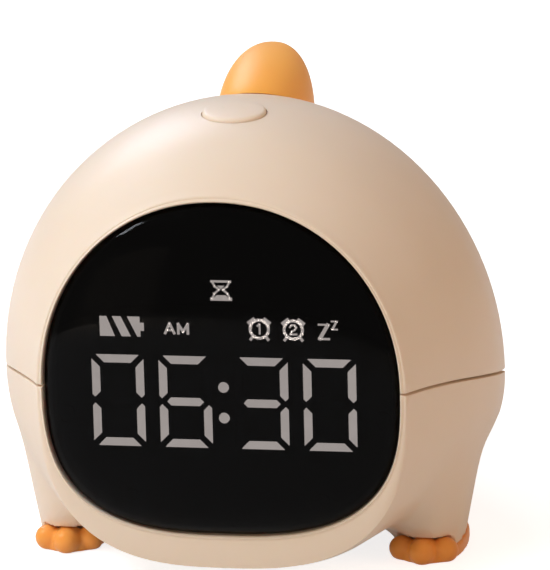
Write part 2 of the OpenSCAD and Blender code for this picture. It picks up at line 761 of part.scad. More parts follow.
// ---- Spikes ---------------------------------------------------------------------------------
// Each spike in percent of the body: [front and back of its base, half width, tip depth, tip height],
// and the radius of its stem
fins = [
    [43.69, 66.15, 19.22, 63.85, 104.52, 5],
    [66.77, 76.77, 15.99, 82.69, 79.57, 3.6],
    [77.38, 82.46, 13.27, 89.23, 55.56, 2.8],
    [83.08, 89.54, 10.2, 93.08, 37.48, 2.4]
];
spikes = [
    for (f = fins) [
        f[0] / 100 * body_l,
        f[1] / 100 * body_l,
        f[2] / 100 * body_w / 2,
        f[3] / 100 * body_l,
        f[4] / 100 * body_h,
        f[5]
    ]
];
spike_gap = 0.3;
stem_gap = 0.2;
// Fullness of a spike seen from the front, and from the side
full_front = 2.1;
full_side = 1.25;
spike_rings = 7;
spike_sides = 28;
function spike_y(k) = (k[0] + k[1]) / 2;
function spike_slope(k) = (back(k[1]) - back(k[0])) / (k[1] - k[0]);
// Middle of a spike's base, and the way from there to its tip
function spike_lift(y) = spike_gap * slant(slope_back(y));
function spike_base(k) = [0, spike_y(k), back(spike_y(k)) + spike_lift(spike_y(k))];
function spike_way(k) = [0, k[3], k[4]] - spike_base(k);
// A point of the base at angle a, drawn in to a share r
function spike_foot(k, a, r) =
    let (x = k[2] * cos(a) * r, y = spike_y(k) + (k[1] - k[0]) / 2 * sin(a) * r)
    [x, y, back_z(x, y) + spike_lift(y)];
function taper(h, n) = pow(1 - pow(h, n), 1 / n);
// Square to the base's plane, what stands off it fades towards the tip
function spike_pt(k, a, h) =
    let (p = spike_foot(k, a, 1) - spike_base(k), slope = spike_slope(k))
    let (along = [0, 1, slope] / norm([0, 1, slope]), off = p - [p[0], 0, 0] - (p * along) * along)
    spike_base(k) + spike_way(k) * h + [p[0] * taper(h, full_front), 0, 0]
    + along * (p * along) * taper(h, full_side) + off * (1 - h);
module spike_body(k) {
    lens_loft(concat(
        [for (r = [0.1, 0.5]) [for (i = [1:spike_sides]) spike_foot(k, -i * 360 / spike_sides, r)]],
        [
            for (j = [0:spike_rings])
                [for (i = [1:spike_sides]) spike_pt(k, -i * 360 / spike_sides, sin(j * 88 / spike_rings))]
        ]
    ));
}
// Turns and moves its children to stand square on the back under the spike
module along_spike(k) {
    translate([0, spike_y(k), back(spike_y(k))]) rotate([atan(spike_slope(k)), 0, 0]) children();
}
barb = 1;
module spike(i) {
    k = spikes[i];
    color(orange) placed() {
        spike_body(k);
        along_spike(k) {
            translate([0, 0, -wall - 3]) cylinder(r = k[5], h = wall + 6);
            translate([0, 0, -wall - 3]) cylinder(r = k[5] + barb, h = 1.6);
        }
    }
}
module spike_1() { spike(0); }
module spike_2() { spike(1); }
module spike_3() { spike(2); }
module spike_4() { spike(3); }

// The night light: a board that hangs under the first spike, square to its stem
light_drop = 13;
light_posts = [-13.5, 13.5];
light_board_w = 14;
light_board_l = 34;
light_led_w = 2.8;
light_led_l = 3.5;
light_led_h = 1.2;
light_led_x = 3.5;
// How far the back falls away, square to the board, at a distance t from the spike's middle
function light_sag(t) =
    let (k = spikes[0], g = atan(spike_slope(k)), y = spike_y(k) + t * cos(g))
    (back(spike_y(k)) + t * sin(g) - back(y)) * cos(g);
module light_board() {
    color(board_green) placed() along_spike(spikes[0]) difference() {
        translate([-light_board_w / 2, -light_board_l / 2, -light_drop])
            cube([light_board_w, light_board_l, board_t]);
        for (t = light_posts) pin(0, t, -light_drop - 1, board_t - light_drop + 1, small_r + 0.2);
    }
}
module light_leds() {
    color("white") placed() along_spike(spikes[0]) for (i = [-1, 0, 1], s = [-1, 1])
        translate([s * light_led_x, i * 2 * light_led_x, board_t - light_drop + light_led_h / 2])
            cube([light_led_w, light_led_l, light_led_h], center = true);
}
module light_screws() {
    color(steel) placed() along_spike(spikes[0]) for (t = light_posts)
        translate([0, t, -light_drop]) mirror([0, 0, 1]) screw(small_r, board_t + 4);
}

// ---- Main board and what is on it -----------------------------------------------------------
board_w = 2 * (max(board_posts[0][0], board_posts[1][0]) + small_r + 1.3);
board_y0 = 35;
board_y1 = 75.5;
port_tab = 10;
module main_board() {
    color(board_green) placed() difference() {
        union() {
            translate([-board_w / 2, board_y0, board_z]) cube([board_w, board_y1 - board_y0, board_t]);
            translate([2 - port_x, port_y - port_tab / 2, board_z])
                cube([port_x - board_w / 2, port_tab, board_t]);
        }
        for (s = board_posts) in_pairs(s[0]) pin(0, s[1], board_z - 1, board_z + board_t + 1, small_r + 0.2);
    }
}
chip_l = 9;
module controller_chip() {
    color(black) placed()
        translate([-chip_l / 2, board_y0 + 21 - chip_l / 2, board_z + board_t]) cube([chip_l, chip_l, 1.2]);
}
module clock_crystal() {
    color(steel) placed() translate([10, board_y0 + 17, board_z + board_t]) {
        linear_extrude(2.4) {
            square([6, 3]);
            for (x = [0, 6]) translate([x, 1.5]) circle(d = 3);
        }
    }
}
port_depth = 7.4;
port_wall = 0.3;
module usb_socket() {
    color(steel) placed() translate([-port_x, port_y, port_z]) difference() {
        rounded_bar(port_depth, port_w, port_h);
        translate([-1, 0, 0]) rounded_bar(port_depth, port_w - 2 * port_wall, port_h - 2 * port_wall);
    }
    color(black) placed() translate([1 - port_x, port_y - 3.4, port_z - 0.35])
        cube([port_depth - 1.4, 6.8, 0.7]);
}
// A bar along x with round sides, from x = 0
module rounded_bar(l, w, h) {
    rotate([90, 0, 90]) linear_extrude(l) {
        square([w - h, h], center = true);
        for (s = [-1, 1]) translate([s * (w - h) / 2, 0]) circle(d = h);
    }
}
header_y = 41;
module ribbon_header() {
    color("ivory") placed()
        translate([-plug_w / 2, header_y, board_z + board_t]) cube([plug_w, 4, 3]);
}
// The ribbon leaves the header, rises in an arc and enters the plug on the display board
ribbon_t = 0.4;
ribbon_w = 12;
module display_ribbon() {
    z0 = board_z + board_t + 1.5;
    z1 = plug_z + plug_h / 2;
    y1 = leaned(housing_back + board_t + 3, z1) + 0.2;
    y0 = header_y - 0.2;
    n = 12;
    path = [
        for (i = [0:n])
            let (t = i / n) [y0 + (y1 - y0) * t, z0 + (z1 - z0) * smooth(t)]
    ];
    color("dimgray") placed() translate([-ribbon_w / 2, 0, 0]) rotate([90, 0, 90]) linear_extrude(ribbon_w)
        polygon(concat(path, [for (i = [n:-1:0]) path[i] + [0, ribbon_t]]));
}
module board_screws() {
    color(steel) placed() for (s = board_posts) in_pairs(s[0])
        translate([0, s[1], board_z + board_t]) screw(small_r, board_t + 5);
}
module battery() {
    color("silver") placed() translate([-cell_l / 2, cell_y - cell_w / 2, cell_z])
        cube([cell_l, cell_w, cell_t]);
}
foam_l = 28;
foam_w = 12;
module battery_foam() {
    color("dimgray") placed() translate([-foam_l / 2, board_y0 + 2, cell_z + cell_t])
        cube([foam_l, foam_w, board_z - cell_z - cell_t]);
}

// ---- Speaker --------------------------------------------------------------------------------
basket_h = 3;
magnet_r = 8;
magnet_h = 4;
ear_t = 1.2;
module speaker_basket() {
    color(black) placed() translate([0, speaker_y, speaker_z]) difference() {
        union() {
            cylinder(r = speaker_r, h = basket_h);
            in_pairs(ear_x) cylinder(r = ear_r, h = ear_t);
            translate([-ear_x, -ear_r, 0]) cube([2 * ear_x, 2 * ear_r, ear_t]);
        }
        pin(0, 0, -1, 0.01, speaker_r - 1);
        cylinder(r1 = speaker_r - 1, r2 = magnet_r - 2, h = basket_h + 0.01);
        in_pairs(ear_x) pin(0, 0, -1, 3, small_r + 0.2);
    }
}
module speaker_cone() {
    color("gray") placed() translate([0, speaker_y, speaker_z + 0.2]) difference() {
        cylinder(r1 = speaker_r - 1.8, r2 = magnet_r - 2.6, h = basket_h - 0.3);
        translate([0, 0, -0.4]) cylinder(r1 = speaker_r - 1.8, r2 = magnet_r - 2.6, h = basket_h - 0.3);
    }
}
module speaker_magnet() {
    color(steel) placed() pin(0, speaker_y, speaker_z + basket_h, speaker_z + basket_h + magnet_h, magnet_r);
}
module speaker_screws() {
    color(steel) placed() in_pairs(ear_x)
        translate([0, speaker_y, speaker_z + ear_t]) screw(small_r, ear_t + 2.6);
}

// ---- Setting keys ---------------------------------------------------------------------------
key_sink = 0.2;
key_flange_z = collar_top + 0.2;
key_flange_t = 1;
key_top = key_flange_z + key_flange_t;
key_board_z = key_top + key_travel + switch_clear + switch_h;
module key(i) {
    x = key_xs[i] * key_pitch;
    color(cream) placed() {
        pin(x, key_y, belly_z(abs(x), key_y) + key_sink, key_top, key_r);
        pin(x, key_y, key_flange_z, key_top, key_r + 1);
    }
}
module key_plunger(i) {
    color(black) placed()
        pin(key_xs[i] * key_pitch, key_y, key_top, key_top + plunger_l, plunger_r);
}
module key_alarm() { key(0); }
module key_set() { key(1); }
module key_up() { key(2); }
module key_down() { key(3); }
module plunger_alarm() { key_plunger(0); }
module plunger_set() { key_plunger(1); }
module plunger_up() { key_plunger(2); }
module plunger_down() { key_plunger(3); }
key_board_l = 3 * key_pitch + 10;
module key_board() {
    color(board_green) placed() difference() {
        translate([-key_board_l / 2, key_y - 5, key_board_z]) cube([key_board_l, 10, board_t]);
        in_pairs(key_post_x) pin(0, key_y, key_board_z - 1, key_board_z + board_t + 1, small_r + 0.2);
    }
}
module key_switches() {
    color(steel) placed() for (x = key_xs) translate([x * key_pitch, key_y, key_board_z])
        mirror([0, 0, 1]) switch_body();
}
module key_screws() {
    color(steel) placed() in_pairs(key_post_x)
        translate([0, key_y, key_board_z + board_t]) screw(small_r, board_t + 4);
}

// ---- Feet -----------------------------------------------------------------------------------
sole_out = 0.6;
// Toes as [distance outwards from the leg's middle, radius, step back from the foremost]
toes = [[-4.9, 2.2, 1.2], [0, 2.8, 0], [5.1, 2.4, 1.4]];
toe_front = leg_y - leg_l / 2 - 2.8;
toe_end = toe_back - 3.5;
module foot_outline(grow) {
    polygon([
        for (i = [0:7.5:352.5])
            [
                (leg_w / 2 + grow) * sign(cos(i)) * pow(abs(cos(i)), 2 / leg_n),
                (leg_l / 2 + grow) * sign(sin(i)) * pow(abs(sin(i)), 2 / leg_n)
            ]
    ]);
}
// A round toe that runs back under the leg from a rounded front at y = 0, flat where it stands
toe_sink = 0.5;
module toe(r, l) {
    difference() {
        translate([0, r, 0]) {
            for (z = [r - toe_sink, toe_h - r]) translate([0, 0, z]) {
                sphere(r = r);
                rotate([-90, 0, 0]) cylinder(r = r, h = l - r);
            }
            translate([0, 0, r - toe_sink]) cylinder(r = r, h = toe_h - 2 * r + toe_sink);
            translate([-r, 0, r - toe_sink]) cube([2 * r, l - r, toe_h - 2 * r + toe_sink]);
        }
        translate([-2 * r, -1, -2 * r]) cube([4 * r, l + 2, 2 * r]);
    }
}
module foot() {
    color(orange) placed() translate([leg_x, 0, 0]) {
        translate([0, leg_y, 0]) linear_extrude(sole_h) foot_outline(sole_out);
        for (t = toes) translate([t[0], toe_front + t[2], 0]) toe(t[1], toe_end - toe_front - t[2]);
    }
}
module foot_left() { mirror([1, 0, 0]) foot(); }
module foot_right() { foot(); }
module case_screws() {
    color(steel) placed() for (s = case_spots) in_pairs(s[0])
        translate([0, s[1], well_z(s)]) mirror([0, 0, 1]) screw(screw_r, well_roof + screw_bite - 1);
}

upper_shell();
lower_shell();
display_lens();
display_frame();
segment_mask();
light_housing();
lit_bars();
dark_bars();
display_board();
display_leds();
display_plug();
frame_screws();
housing_screws();
top_button();
top_plunger();
top_switch();
button_board();
button_screws();
spike_1();
spike_2();
spike_3();
spike_4();
light_board();
light_leds();
light_screws();
main_board();
controller_chip();
clock_crystal();
usb_socket();
display_ribbon();
ribbon_header();
board_screws();
battery();
battery_foam();
speaker_basket();
speaker_cone();
speaker_magnet();
speaker_screws();
key_board();
key_switches();
key_screws();
key_alarm();
key_set();
key_up();
key_down();
plunger_alarm();
plunger_set();
plunger_up();
plunger_down();
foot_left();
foot_right();
case_screws();
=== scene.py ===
import math

import bmesh
import bpy
from mathutils import Matrix, Quaternion, Vector


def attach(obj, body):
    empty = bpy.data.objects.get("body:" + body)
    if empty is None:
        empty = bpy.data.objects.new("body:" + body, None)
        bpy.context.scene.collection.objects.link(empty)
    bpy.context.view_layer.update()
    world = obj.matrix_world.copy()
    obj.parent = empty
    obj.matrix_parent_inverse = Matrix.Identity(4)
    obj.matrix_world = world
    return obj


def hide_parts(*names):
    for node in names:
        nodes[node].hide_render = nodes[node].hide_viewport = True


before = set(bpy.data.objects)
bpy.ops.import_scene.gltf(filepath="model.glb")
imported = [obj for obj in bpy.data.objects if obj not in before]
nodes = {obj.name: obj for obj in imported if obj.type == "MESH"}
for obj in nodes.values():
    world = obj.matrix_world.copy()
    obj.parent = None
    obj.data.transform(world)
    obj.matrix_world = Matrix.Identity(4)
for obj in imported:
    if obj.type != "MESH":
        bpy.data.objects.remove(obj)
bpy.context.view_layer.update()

scene = bpy.context.scene
scene.view_settings.view_transform = "Standard"

# ---- Camera ----------------------------------------------------------------------------------
# A long lens about a metre in front of the window, a little to its right and above it. The clock
# is drawn in millimetres behind the window's front, and in metres round its own middle.
BODY_L = 130.0


def at(x, y, z):
    """A point of the frame, from millimetres across, behind the window's front, and up."""
    return Vector((x, y - BODY_L / 2, z)) * 0.001


def put(name, data):
    """A new object in the scene, at the origin."""
    made = bpy.data.objects.new(name, data)
    scene.collection.objects.link(made)
    return made


# Degrees to the right of the window, above it, and of roll; then metres
turned, raised, tilted = math.radians(11.27), math.radians(15.63), math.radians(1.78)
VIEW_DISTANCE, AIM_ACROSS, AIM_UP = 0.964, 0.00506, 0.00411
toward = Vector((
    math.sin(turned) * math.cos(raised),
    -math.cos(turned) * math.cos(raised),
    math.sin(raised),
))
clock_middle = at(0, 50, 55)
viewer = clock_middle + toward * VIEW_DISTANCE
across = Vector((math.cos(turned), math.sin(turned), 0))
upward = toward.cross(across)
across, upward = (
    across * math.cos(tilted) + upward * math.sin(tilted),
    upward * math.cos(tilted) - across * math.sin(tilted),
)
aim = clock_middle + across * AIM_ACROSS + upward * AIM_UP
camera = put("camera", bpy.data.cameras.new("camera"))
camera.data.lens = 258.5
camera.data.sensor_width = 36
camera.location = viewer
camera.rotation_mode = "QUATERNION"
camera.rotation_quaternion = (aim - viewer).to_track_quat("-Z", "Y") @ Quaternion((0, 0, 1), -tilted)
scene.camera = camera

# ---- The two shells --------------------------------------------------------------------------
# Cream ABS, injection moulded in an upper and a lower half with a matt, lightly sparked surface.
# They meet along a seam at the widest height of the body, and four screws from below hold them.
BODY_W, BODY_H = 117.6, 106.2
WALL, SEAM_GAP, LEAN, LEAN_FADE, TAIL_R = 2.2, 0.2, 0.03, 40, 6.0
LENS_W, LENS_TOP, LENS_MID, LENS_LOW = 82.0, 90.1, 47.0, 12.7
LENS_BULGE, LENS_T, LENS_GAP, RIM_BACK = 8.0, 2.0, 0.15, 11.6
# How square the outlines are: the window above and below its middle, the belly, more in front
LENS_TOP_N, LENS_LOW_N, BELLY_N, FRONT_N, FRONT_FADE = 2.08, 2.8, 2.3, 0.5, 30
# Ribs of the body from front to tail, in percent: depth, half width, back, belly, seam
RIBS = [
    (5.4, 72.8, 86.8, 4.4, 44.2), (7.7, 75.8, 89.2, 3.6, 44.1), (10.8, 80.0, 92.1, 3.3, 43.9),
    (16.9, 87.9, 96.4, 3.0, 43.1), (24.6, 95.4, 99.2, 2.8, 41.4), (33.1, 99.8, 100, 2.6, 39.2),
    (43.8, 99.0, 97.9, 2.4, 36.1), (53.8, 92.0, 91.7, 2.4, 31.9), (64.6, 77.4, 80.2, 2.6, 26.2),
    (72.3, 64.4, 67.2, 3.0, 21.6), (78.5, 53.0, 52.8, 4.0, 17.9), (83.8, 42.7, 36.2, 5.1, 15.1),
    (90.0, 31.5, 25.8, 6.2, 12.8), (95.4, 22.9, 21.1, 7.5, 12.1), (100, 17.1, 18.7, 9.1, 12.6),
]
FRONT = RIBS[0][0] / 100 * BODY_L


def rib_at(y, column):
    """A size of the body at a depth, on a smooth curve through the ribs."""
    s = 100 * y / BODY_L
    i = 0
    while i < len(RIBS) - 2 and s >= RIBS[i + 1][0]:
        i += 1
    h = RIBS[i + 1][0] - RIBS[i][0]
    t = (s - RIBS[i][0]) / h

    def slope(j):
        a, b = RIBS[max(j - 1, 0)], RIBS[min(j + 1, len(RIBS) - 1)]
        return (b[column] - a[column]) / (b[0] - a[0])

    return (
        (1 + 2 * t) * (1 - t) ** 2 * RIBS[i][column] + t * (1 - t) ** 2 * h * slope(i)
        + (3 - 2 * t) * t * t * RIBS[i + 1][column] - (1 - t) * t * t * h * slope(i + 1)
    )


def half_width(y):
    return rib_at(y, 1) / 100 * BODY_W / 2


def back(y):
    return rib_at(y, 2) / 100 * BODY_H


def belly(y):
    return rib_at(y, 3) / 100 * BODY_H


def seam(y):
    return rib_at(y, 4) / 100 * BODY_H


def fall(height, y):
    """How much longer a wall is in a section than square to the skin."""
    return min(2.6, math.hypot(1, height(y + 0.5) - height(y - 0.5)))


def power(base, exponent):
    return math.copysign(abs(base) ** exponent, base)


def oval_point(w, up, down, z, n, a, top=2.0):
    """A point at angle a of a section: near an ellipse above z, a squarer curve below it."""
    c, s = math.cos(a), math.sin(a)
    if s < 0:
        return w * power(c, 2 / n), z - down * (-s) ** (2 / n)
    return w * power(c, 2 / top), z + up * s ** (2 / top)


def leaned(y, z):
    return y + LEAN * (z - LENS_MID) * (1 if y < RIM_BACK else max(0, 1 - (y - RIM_BACK) / LEAN_FADE))


def squareness(y):
    return BELLY_N + FRONT_N * max(0, 1 - (y - FRONT) / FRONT_FADE)


def skin(y, a, t=0.0, end=BODY_L, drop=0.0):
    """A point of the body t millimetres under its skin, which ends in a round tip at end."""
    round_off = math.sqrt(max(0, 1 - (max(0, y - end + TAIL_R) / TAIL_R) ** 2))
    z = seam(y) - drop
    w = (half_width(y) - t * fall(half_width, y)) * round_off
    up = (back(y) - t * fall(back, y) - z) * round_off
    down = (z - belly(y) - t * fall(belly, y)) * round_off
    x, z = oval_point(w, up, down, z, squareness(y), a)
    return Vector((x, leaned(y, z), z))


def opening(y, a, drop=0.0, grow=LENS_GAP):
    """A point on the edge of the window's opening."""
    z = LENS_MID - drop
    x, z = oval_point(LENS_W / 2 + grow, LENS_TOP + grow - z, z - LENS_LOW + grow, z, LENS_LOW_N, a,
                      LENS_TOP_N)
    return Vector((x, leaned(y, z), z))


# The legs are drawn down out of the belly, with a flare round each
LEG_X, LEG_Y, LEG_W, LEG_L, LEG_N, FLARE = 42.5, 40.5, 16.0, 28.0, 2.4, 0.42
SOLE_H, TOE_H, TOE_ROOM, STEP_END, STEP_L = 3.0, 5.8, 0.3, 6.5, 3
# The flow of a leg into the belly: its reach in half widths of the leg, and rounds of smoothing
FLOW_FROM, FLOW_TO, LEG_SMOOTHING = 1.0, 2.5, 30


def eased(t):
    t = min(1.0, max(0.0, t))
    return t * t * (3 - 2 * t)


def leg_under(y):
    """Height of a leg's underside: over the toes in front, and down to the sole behind them."""
    return SOLE_H + (TOE_H + TOE_ROOM - SOLE_H) * eased((LEG_Y - LEG_L / 2 + STEP_END - y) / STEP_L)


def leg_reach(p, t):
    """How far out a place lies from a leg's middle: 1 on the outline of the leg, less t."""
    rx, ry = LEG_W / 2 - t, LEG_L / 2 - t
    return ((abs(abs(p.x) - LEG_X) / rx) ** LEG_N + (abs(p.y - LEG_Y) / ry) ** LEG_N) ** (1 / LEG_N)


def with_leg(p, t):
    """A place t millimetres under the belly's skin, drawn down where a leg stands."""
    share = eased(1 - (leg_reach(p, t) - 1) / (FLARE * (LEG_W / 2) / (LEG_W / 2 - t)))
    return Vector((p.x, p.y, p.z - max(0.0, p.z - leg_under(p.y) - t) * share))


def shell_depths(through_legs):
    """Depths of a shell's rings, closer over the legs and round the tail tip."""
    depths = [FRONT + 1.2 * i for i in range(4)]
    depths += [RIM_BACK + 0.4 + (62 - RIM_BACK) * i / through_legs for i in range(through_legs)]
    depths += [62.4 + (BODY_L - TAIL_R - 62.4) * i / 40 for i in range(40)]
    return depths + [BODY_L - TAIL_R + TAIL_R * math.sin(math.pi / 2 * i / 12) for i in range(13)]


# The lip round the window, from its inner edge out: a bead, a shallow groove and a rounded corner,
# as millimetres across the lip, share of what is left of it, and millimetres it stands forward
LIP = [(0, 0, 0.3), (0.12, 0, 0.62), (0.4, 0, 0.85), (0.72, 0, 0.72), (1, 0, 0.52), (1.2, 0.1, 0.55),
       (1.2, 0.65, 0.38)]
# The seam's broken edge: its length along the skin, how far it opens, and how far it goes in
SEAM_EDGE, SEAM_OPEN = 0.35, 0.23
SEAM_NICK = 0.3 * SEAM_EDGE


def shell_half(upper, steps, depths):
    """One moulded half: rings of an outer and an inner skin, closed at the lip and the tail."""
    drop = 0.0 if upper else SEAM_GAP
    start = 0.0 if upper else -math.pi
    lining_end, lining_turn = BODY_L - 2 * WALL, 0.8 * BODY_L
    pace = (lining_end - lining_turn) / (BODY_L - lining_turn)
    columns, rows = 2 * steps + 2, len(depths) + len(LIP)
    round_legs = []
    bm = bmesh.new()
    bmesh.ops.create_grid(bm, x_segments=columns, y_segments=rows - 1, size=0.5)
    for v in bm.verts:
        i = round((v.co.x + 0.5) * columns) % columns
        j = round((v.co.y + 0.5) * (rows - 1)) - len(LIP)
        inner = i > steps
        k = columns - 1 - i if inner else i
        y = depths[max(j, 0)]
        # The skin's first step up or down from the seam is short, for the seam's broken edge,
        # and never reaches the second
        share = min(1.0, max(0.0, (k - 1) / (steps - 2)))
        high = (back(y) - seam(y) if upper else seam(y) - belly(y)) / SEAM_EDGE
        short = math.asin(min(1.0, 1 / high) ** (1 if upper else squareness(y) / 2))
        short = min(short, 0.7 * math.pi / (steps - 2))
        a = start + math.pi * share
        if not upper:
            # More columns over the legs
            a += math.radians(6) * math.sin(4 * math.pi * share)
        if k in (1, steps - 1):
            a = start + (short if k == 1 else math.pi - short)
        if j < 0:
            out, rest, forward = LIP[j + len(LIP)]
            edge, side = opening(FRONT, a, drop), skin(FRONT, a, drop=drop)
            out = out / max(1.9, (side - edge).length)
            p = edge.lerp(side, out + rest * (1 - out))
            p.y -= forward
            if inner:
                p = opening(FRONT - 0.3 * (j + len(LIP) == 0), a, drop)
        elif not inner:
            p = skin(y, a, drop=drop)
        elif y <= RIM_BACK:
            p = opening(y, a, drop)
        else:
            if y > lining_turn:
                y = lining_turn + (y - lining_turn) * pace
            p = skin(y, a, WALL, lining_end, drop)
        if not upper and j > 3:
            away_from_seam = steps / 16 < k < steps * 15 / 16
            if not inner and away_from_seam and FLOW_FROM < leg_reach(p, 0) < FLOW_TO:
                round_legs.append(v)
            p = with_leg(p, WALL if inner else 0)
        if k in (0, steps) and (not inner or j == -len(LIP)):
            near_tip = min(1, abs(p.x) / 3)
            p.z += near_tip * (SEAM_OPEN if upper else -SEAM_OPEN)
            if j < 0:
                p.y += SEAM_NICK
            else:
                p.x -= math.copysign(SEAM_NICK * near_tip, p.x)
        v.co = at(*p)
    for k in range(LEG_SMOOTHING if round_legs else 0):
        bmesh.ops.smooth_vert(bm, verts=round_legs, factor=0.5, use_axis_x=True, use_axis_y=True,
                              use_axis_z=True)
    bmesh.ops.remove_doubles(bm, verts=bm.verts, dist=2e-6)
    bmesh.ops.recalc_face_normals(bm, faces=bm.faces)
    return bm


def as_mesh(name, bm):
    mesh = bpy.data.meshes.new(name)
    bm.to_mesh(mesh)
    bm.free()
    return mesh


def as_piece(name, bm, body, *replaced, smooth_to=35):
    """A finished mesh becomes a piece that rides on a body."""
    piece = put(name, as_mesh(name, bm))
    piece.data.shade_smooth()
    piece.data.set_sharp_from_angle(angle=math.radians(smooth_to))
    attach(piece, body)
    if replaced:
        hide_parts(*replaced)
    return piece


def srgb(code):
    """A hex colour as Blender's linear values."""
    parts = [int(code[i:i + 2], 16) / 255 for i in (1, 3, 5)]
    return [p / 12.92 if p <= 0.04045 else ((p + 0.055) / 1.055) ** 2.4 for p in parts] + [1.0]


def add(material, kind, settings=(), links=()):
    """Adds a node, sets its properties and sockets, and links outputs of others to its inputs."""
    node = material.node_tree.nodes.new(kind)
    for key, value in dict(settings).items():
        if isinstance(key, int) or key in node.inputs:
            node.inputs[key].default_value = value
        else:
            setattr(node, key, value)
    for socket, source in dict(links).items():
        material.node_tree.links.new(source, node.inputs[socket])
    return node


def new_material(name):
    material = bpy.data.materials.new(name)
    material.use_nodes = True
    return material, material.node_tree.nodes["Principled BSDF"]


def moulded(name, base, shade, rough, grain_mm=0.7, height=0.012, soft=0.0, gloss=0.5):
    """A moulded plastic: faint clouds of colour, a sparked grain, and a little less gloss in it."""
    material, body = new_material(name)
    place = add(material, "ShaderNodeTexCoord")
    clouds = add(material, "ShaderNodeTexNoise", {"Scale": 1000 / 22, "Detail": 2.0},
                 {"Vector": place.outputs["Object"]})
    tint = add(material, "ShaderNodeMix", {"data_type": "RGBA", 6: srgb(base), 7: srgb(shade)},
               {0: clouds.outputs["Fac"]})
    grain = add(material, "ShaderNodeTexNoise", {"Scale": 1000 / grain_mm, "Detail": 3.0},
                {"Vector": place.outputs["Object"]})
    sheen = add(material, "ShaderNodeMapRange", {"To Min": rough - 0.05, "To Max": rough + 0.05},
                {"Value": grain.outputs["Fac"]})
    bump = add(material, "ShaderNodeBump", {"Strength": 0.35, "Distance": height / 1000},
               {"Height": grain.outputs["Fac"]})
    links = material.node_tree.links
    links.new(tint.outputs[2], body.inputs["Base Color"])
    links.new(sheen.outputs["Result"], body.inputs["Roughness"])
    links.new(bump.outputs["Normal"], body.inputs["Normal"])
    body.inputs["IOR"].default_value = 1.5
    body.inputs["Specular IOR Level"].default_value = gloss
    if soft:
        body.inputs["Subsurface Weight"].default_value = soft
        body.inputs["Subsurface Radius"].default_value = (1.0, 0.45, 0.22)
        body.inputs["Subsurface Scale"].default_value = 0.0025
    return material


# ABS with a sparked mould finish: broad soft highlights, and a warm tone where light is low
cream = moulded("cream_sparked_abs", "#F2DFCB", "#EDD9C2", 0.38, soft=0.12, gloss=0.7)

upper = shell_half(True, 66, shell_depths(36))
upper_case = as_piece("upper_case", upper, "clock_body", "upper_shell")
upper_case.data.materials.append(cream)
lower = shell_half(False, 152, shell_depths(74))
lower_case = as_piece("lower_case", lower, "clock_body", "lower_shell")
lower_case.data.materials.append(cream)

# ---- Window ----------------------------------------------------------------------------------
# A smoked acrylic lens, pressed from 2 mm sheet into a shallow dome with a straight rim. It is
# glossy and almost black, and the display behind shows through it only where it is lit.
lens = bmesh.new()
bmesh.ops.create_uvsphere(lens, u_segments=128, v_segments=64, radius=1.0)
bmesh.ops.delete(lens, geom=[v for v in lens.verts if v.co.z < -1e-4], context="VERTS")
for v in lens.verts:
    a = math.atan2(v.co.y, v.co.x)
    share = min(1.0, math.hypot(v.co.x, v.co.y))
    edge = opening(0, a, grow=0)
    z = LENS_MID + (edge.z - LENS_MID) * share
    y = LENS_BULGE * (1 - math.sqrt(max(0, 1 - share * share)))
    v.co = at(edge.x * share, leaned(y, z), z)
rim = bmesh.ops.extrude_edge_only(lens, edges=[e for e in lens.edges if e.is_boundary])
for v in [g for g in rim["geom"] if isinstance(g, bmesh.types.BMVert)]:
    v.co.y += 0.001 * (RIM_BACK - LENS_BULGE - 0.05)
bmesh.ops.recalc_face_normals(lens, faces=lens.faces)
if sum(f.normal.y * f.calc_area() for f in lens.faces) > 0:
    bmesh.ops.reverse_faces(lens, faces=lens.faces)
window = as_piece("smoked_window", lens, "clock_body", "display_lens", smooth_to=50)
wall = window.modifiers.new("wall", "SOLIDIFY")
wall.thickness = LENS_T / 1000
wall.offset = -1
wall.use_even_offset = True

# Smoked acrylic, polished: clear gloss, with a faint unevenness from pressing
smoked, glass = new_material("smoked_acrylic")
place = add(smoked, "ShaderNodeTexCoord")
ripple = add(smoked, "ShaderNodeTexNoise", {"Scale": 1000 / 35, "Detail": 1.0},
             {"Vector": place.outputs["Object"]})
dust = add(smoked, "ShaderNodeMapRange", {"To Min": 0.012, "To Max": 0.03},
           {"Value": ripple.outputs["Fac"]})
smoke = add(smoked, "ShaderNodeMix", {"data_type": "RGBA", 6: srgb("#323030"), 7: srgb("#2D2B2C")},
            {0: ripple.outputs["Fac"]})
smoked.node_tree.links.new(smoke.outputs[2], glass.inputs["Base Color"])
smoked.node_tree.links.new(dust.outputs["Result"], glass.inputs["Roughness"])
glass.inputs["IOR"].default_value = 1.17
glass.inputs["Transmission Weight"].default_value = 1.0
window.data.materials.append(smoked)

# ---- Display ---------------------------------------------------------------------------------
# White LED bars behind a black mask. The lit bars are milky diffusers, flush with the mask; the
# small signs are printed as clear places in a black film over their light wells.
MASK_Y = 10.8


def lit_plastic(name, colour, strength):
    """A milky diffuser lit from behind, its glow and tint varying a little in faint clouds."""
    material, body = new_material(name)
    place = add(material, "ShaderNodeTexCoord")
    cloud = add(material, "ShaderNodeTexNoise", {"Scale": 1000 / 3.0, "Detail": 1.0},
                {"Vector": place.outputs["Object"]})
    glow = add(material, "ShaderNodeMapRange", {"To Min": 0.86 * strength, "To Max": strength},
               {"Value": cloud.outputs["Fac"]})
    tint = add(material, "ShaderNodeMix", {"data_type": "RGBA", 6: srgb(colour), 7: srgb("#FFFFFF")},
               {0: cloud.outputs["Fac"]})
    material.node_tree.links.new(tint.outputs[2], body.inputs["Base Color"])
    material.node_tree.links.new(glow.outputs["Result"], body.inputs["Emission Strength"])
    body.inputs["Emission Color"].default_value = srgb(colour)
    body.inputs["Roughness"].default_value = 0.5
    return material


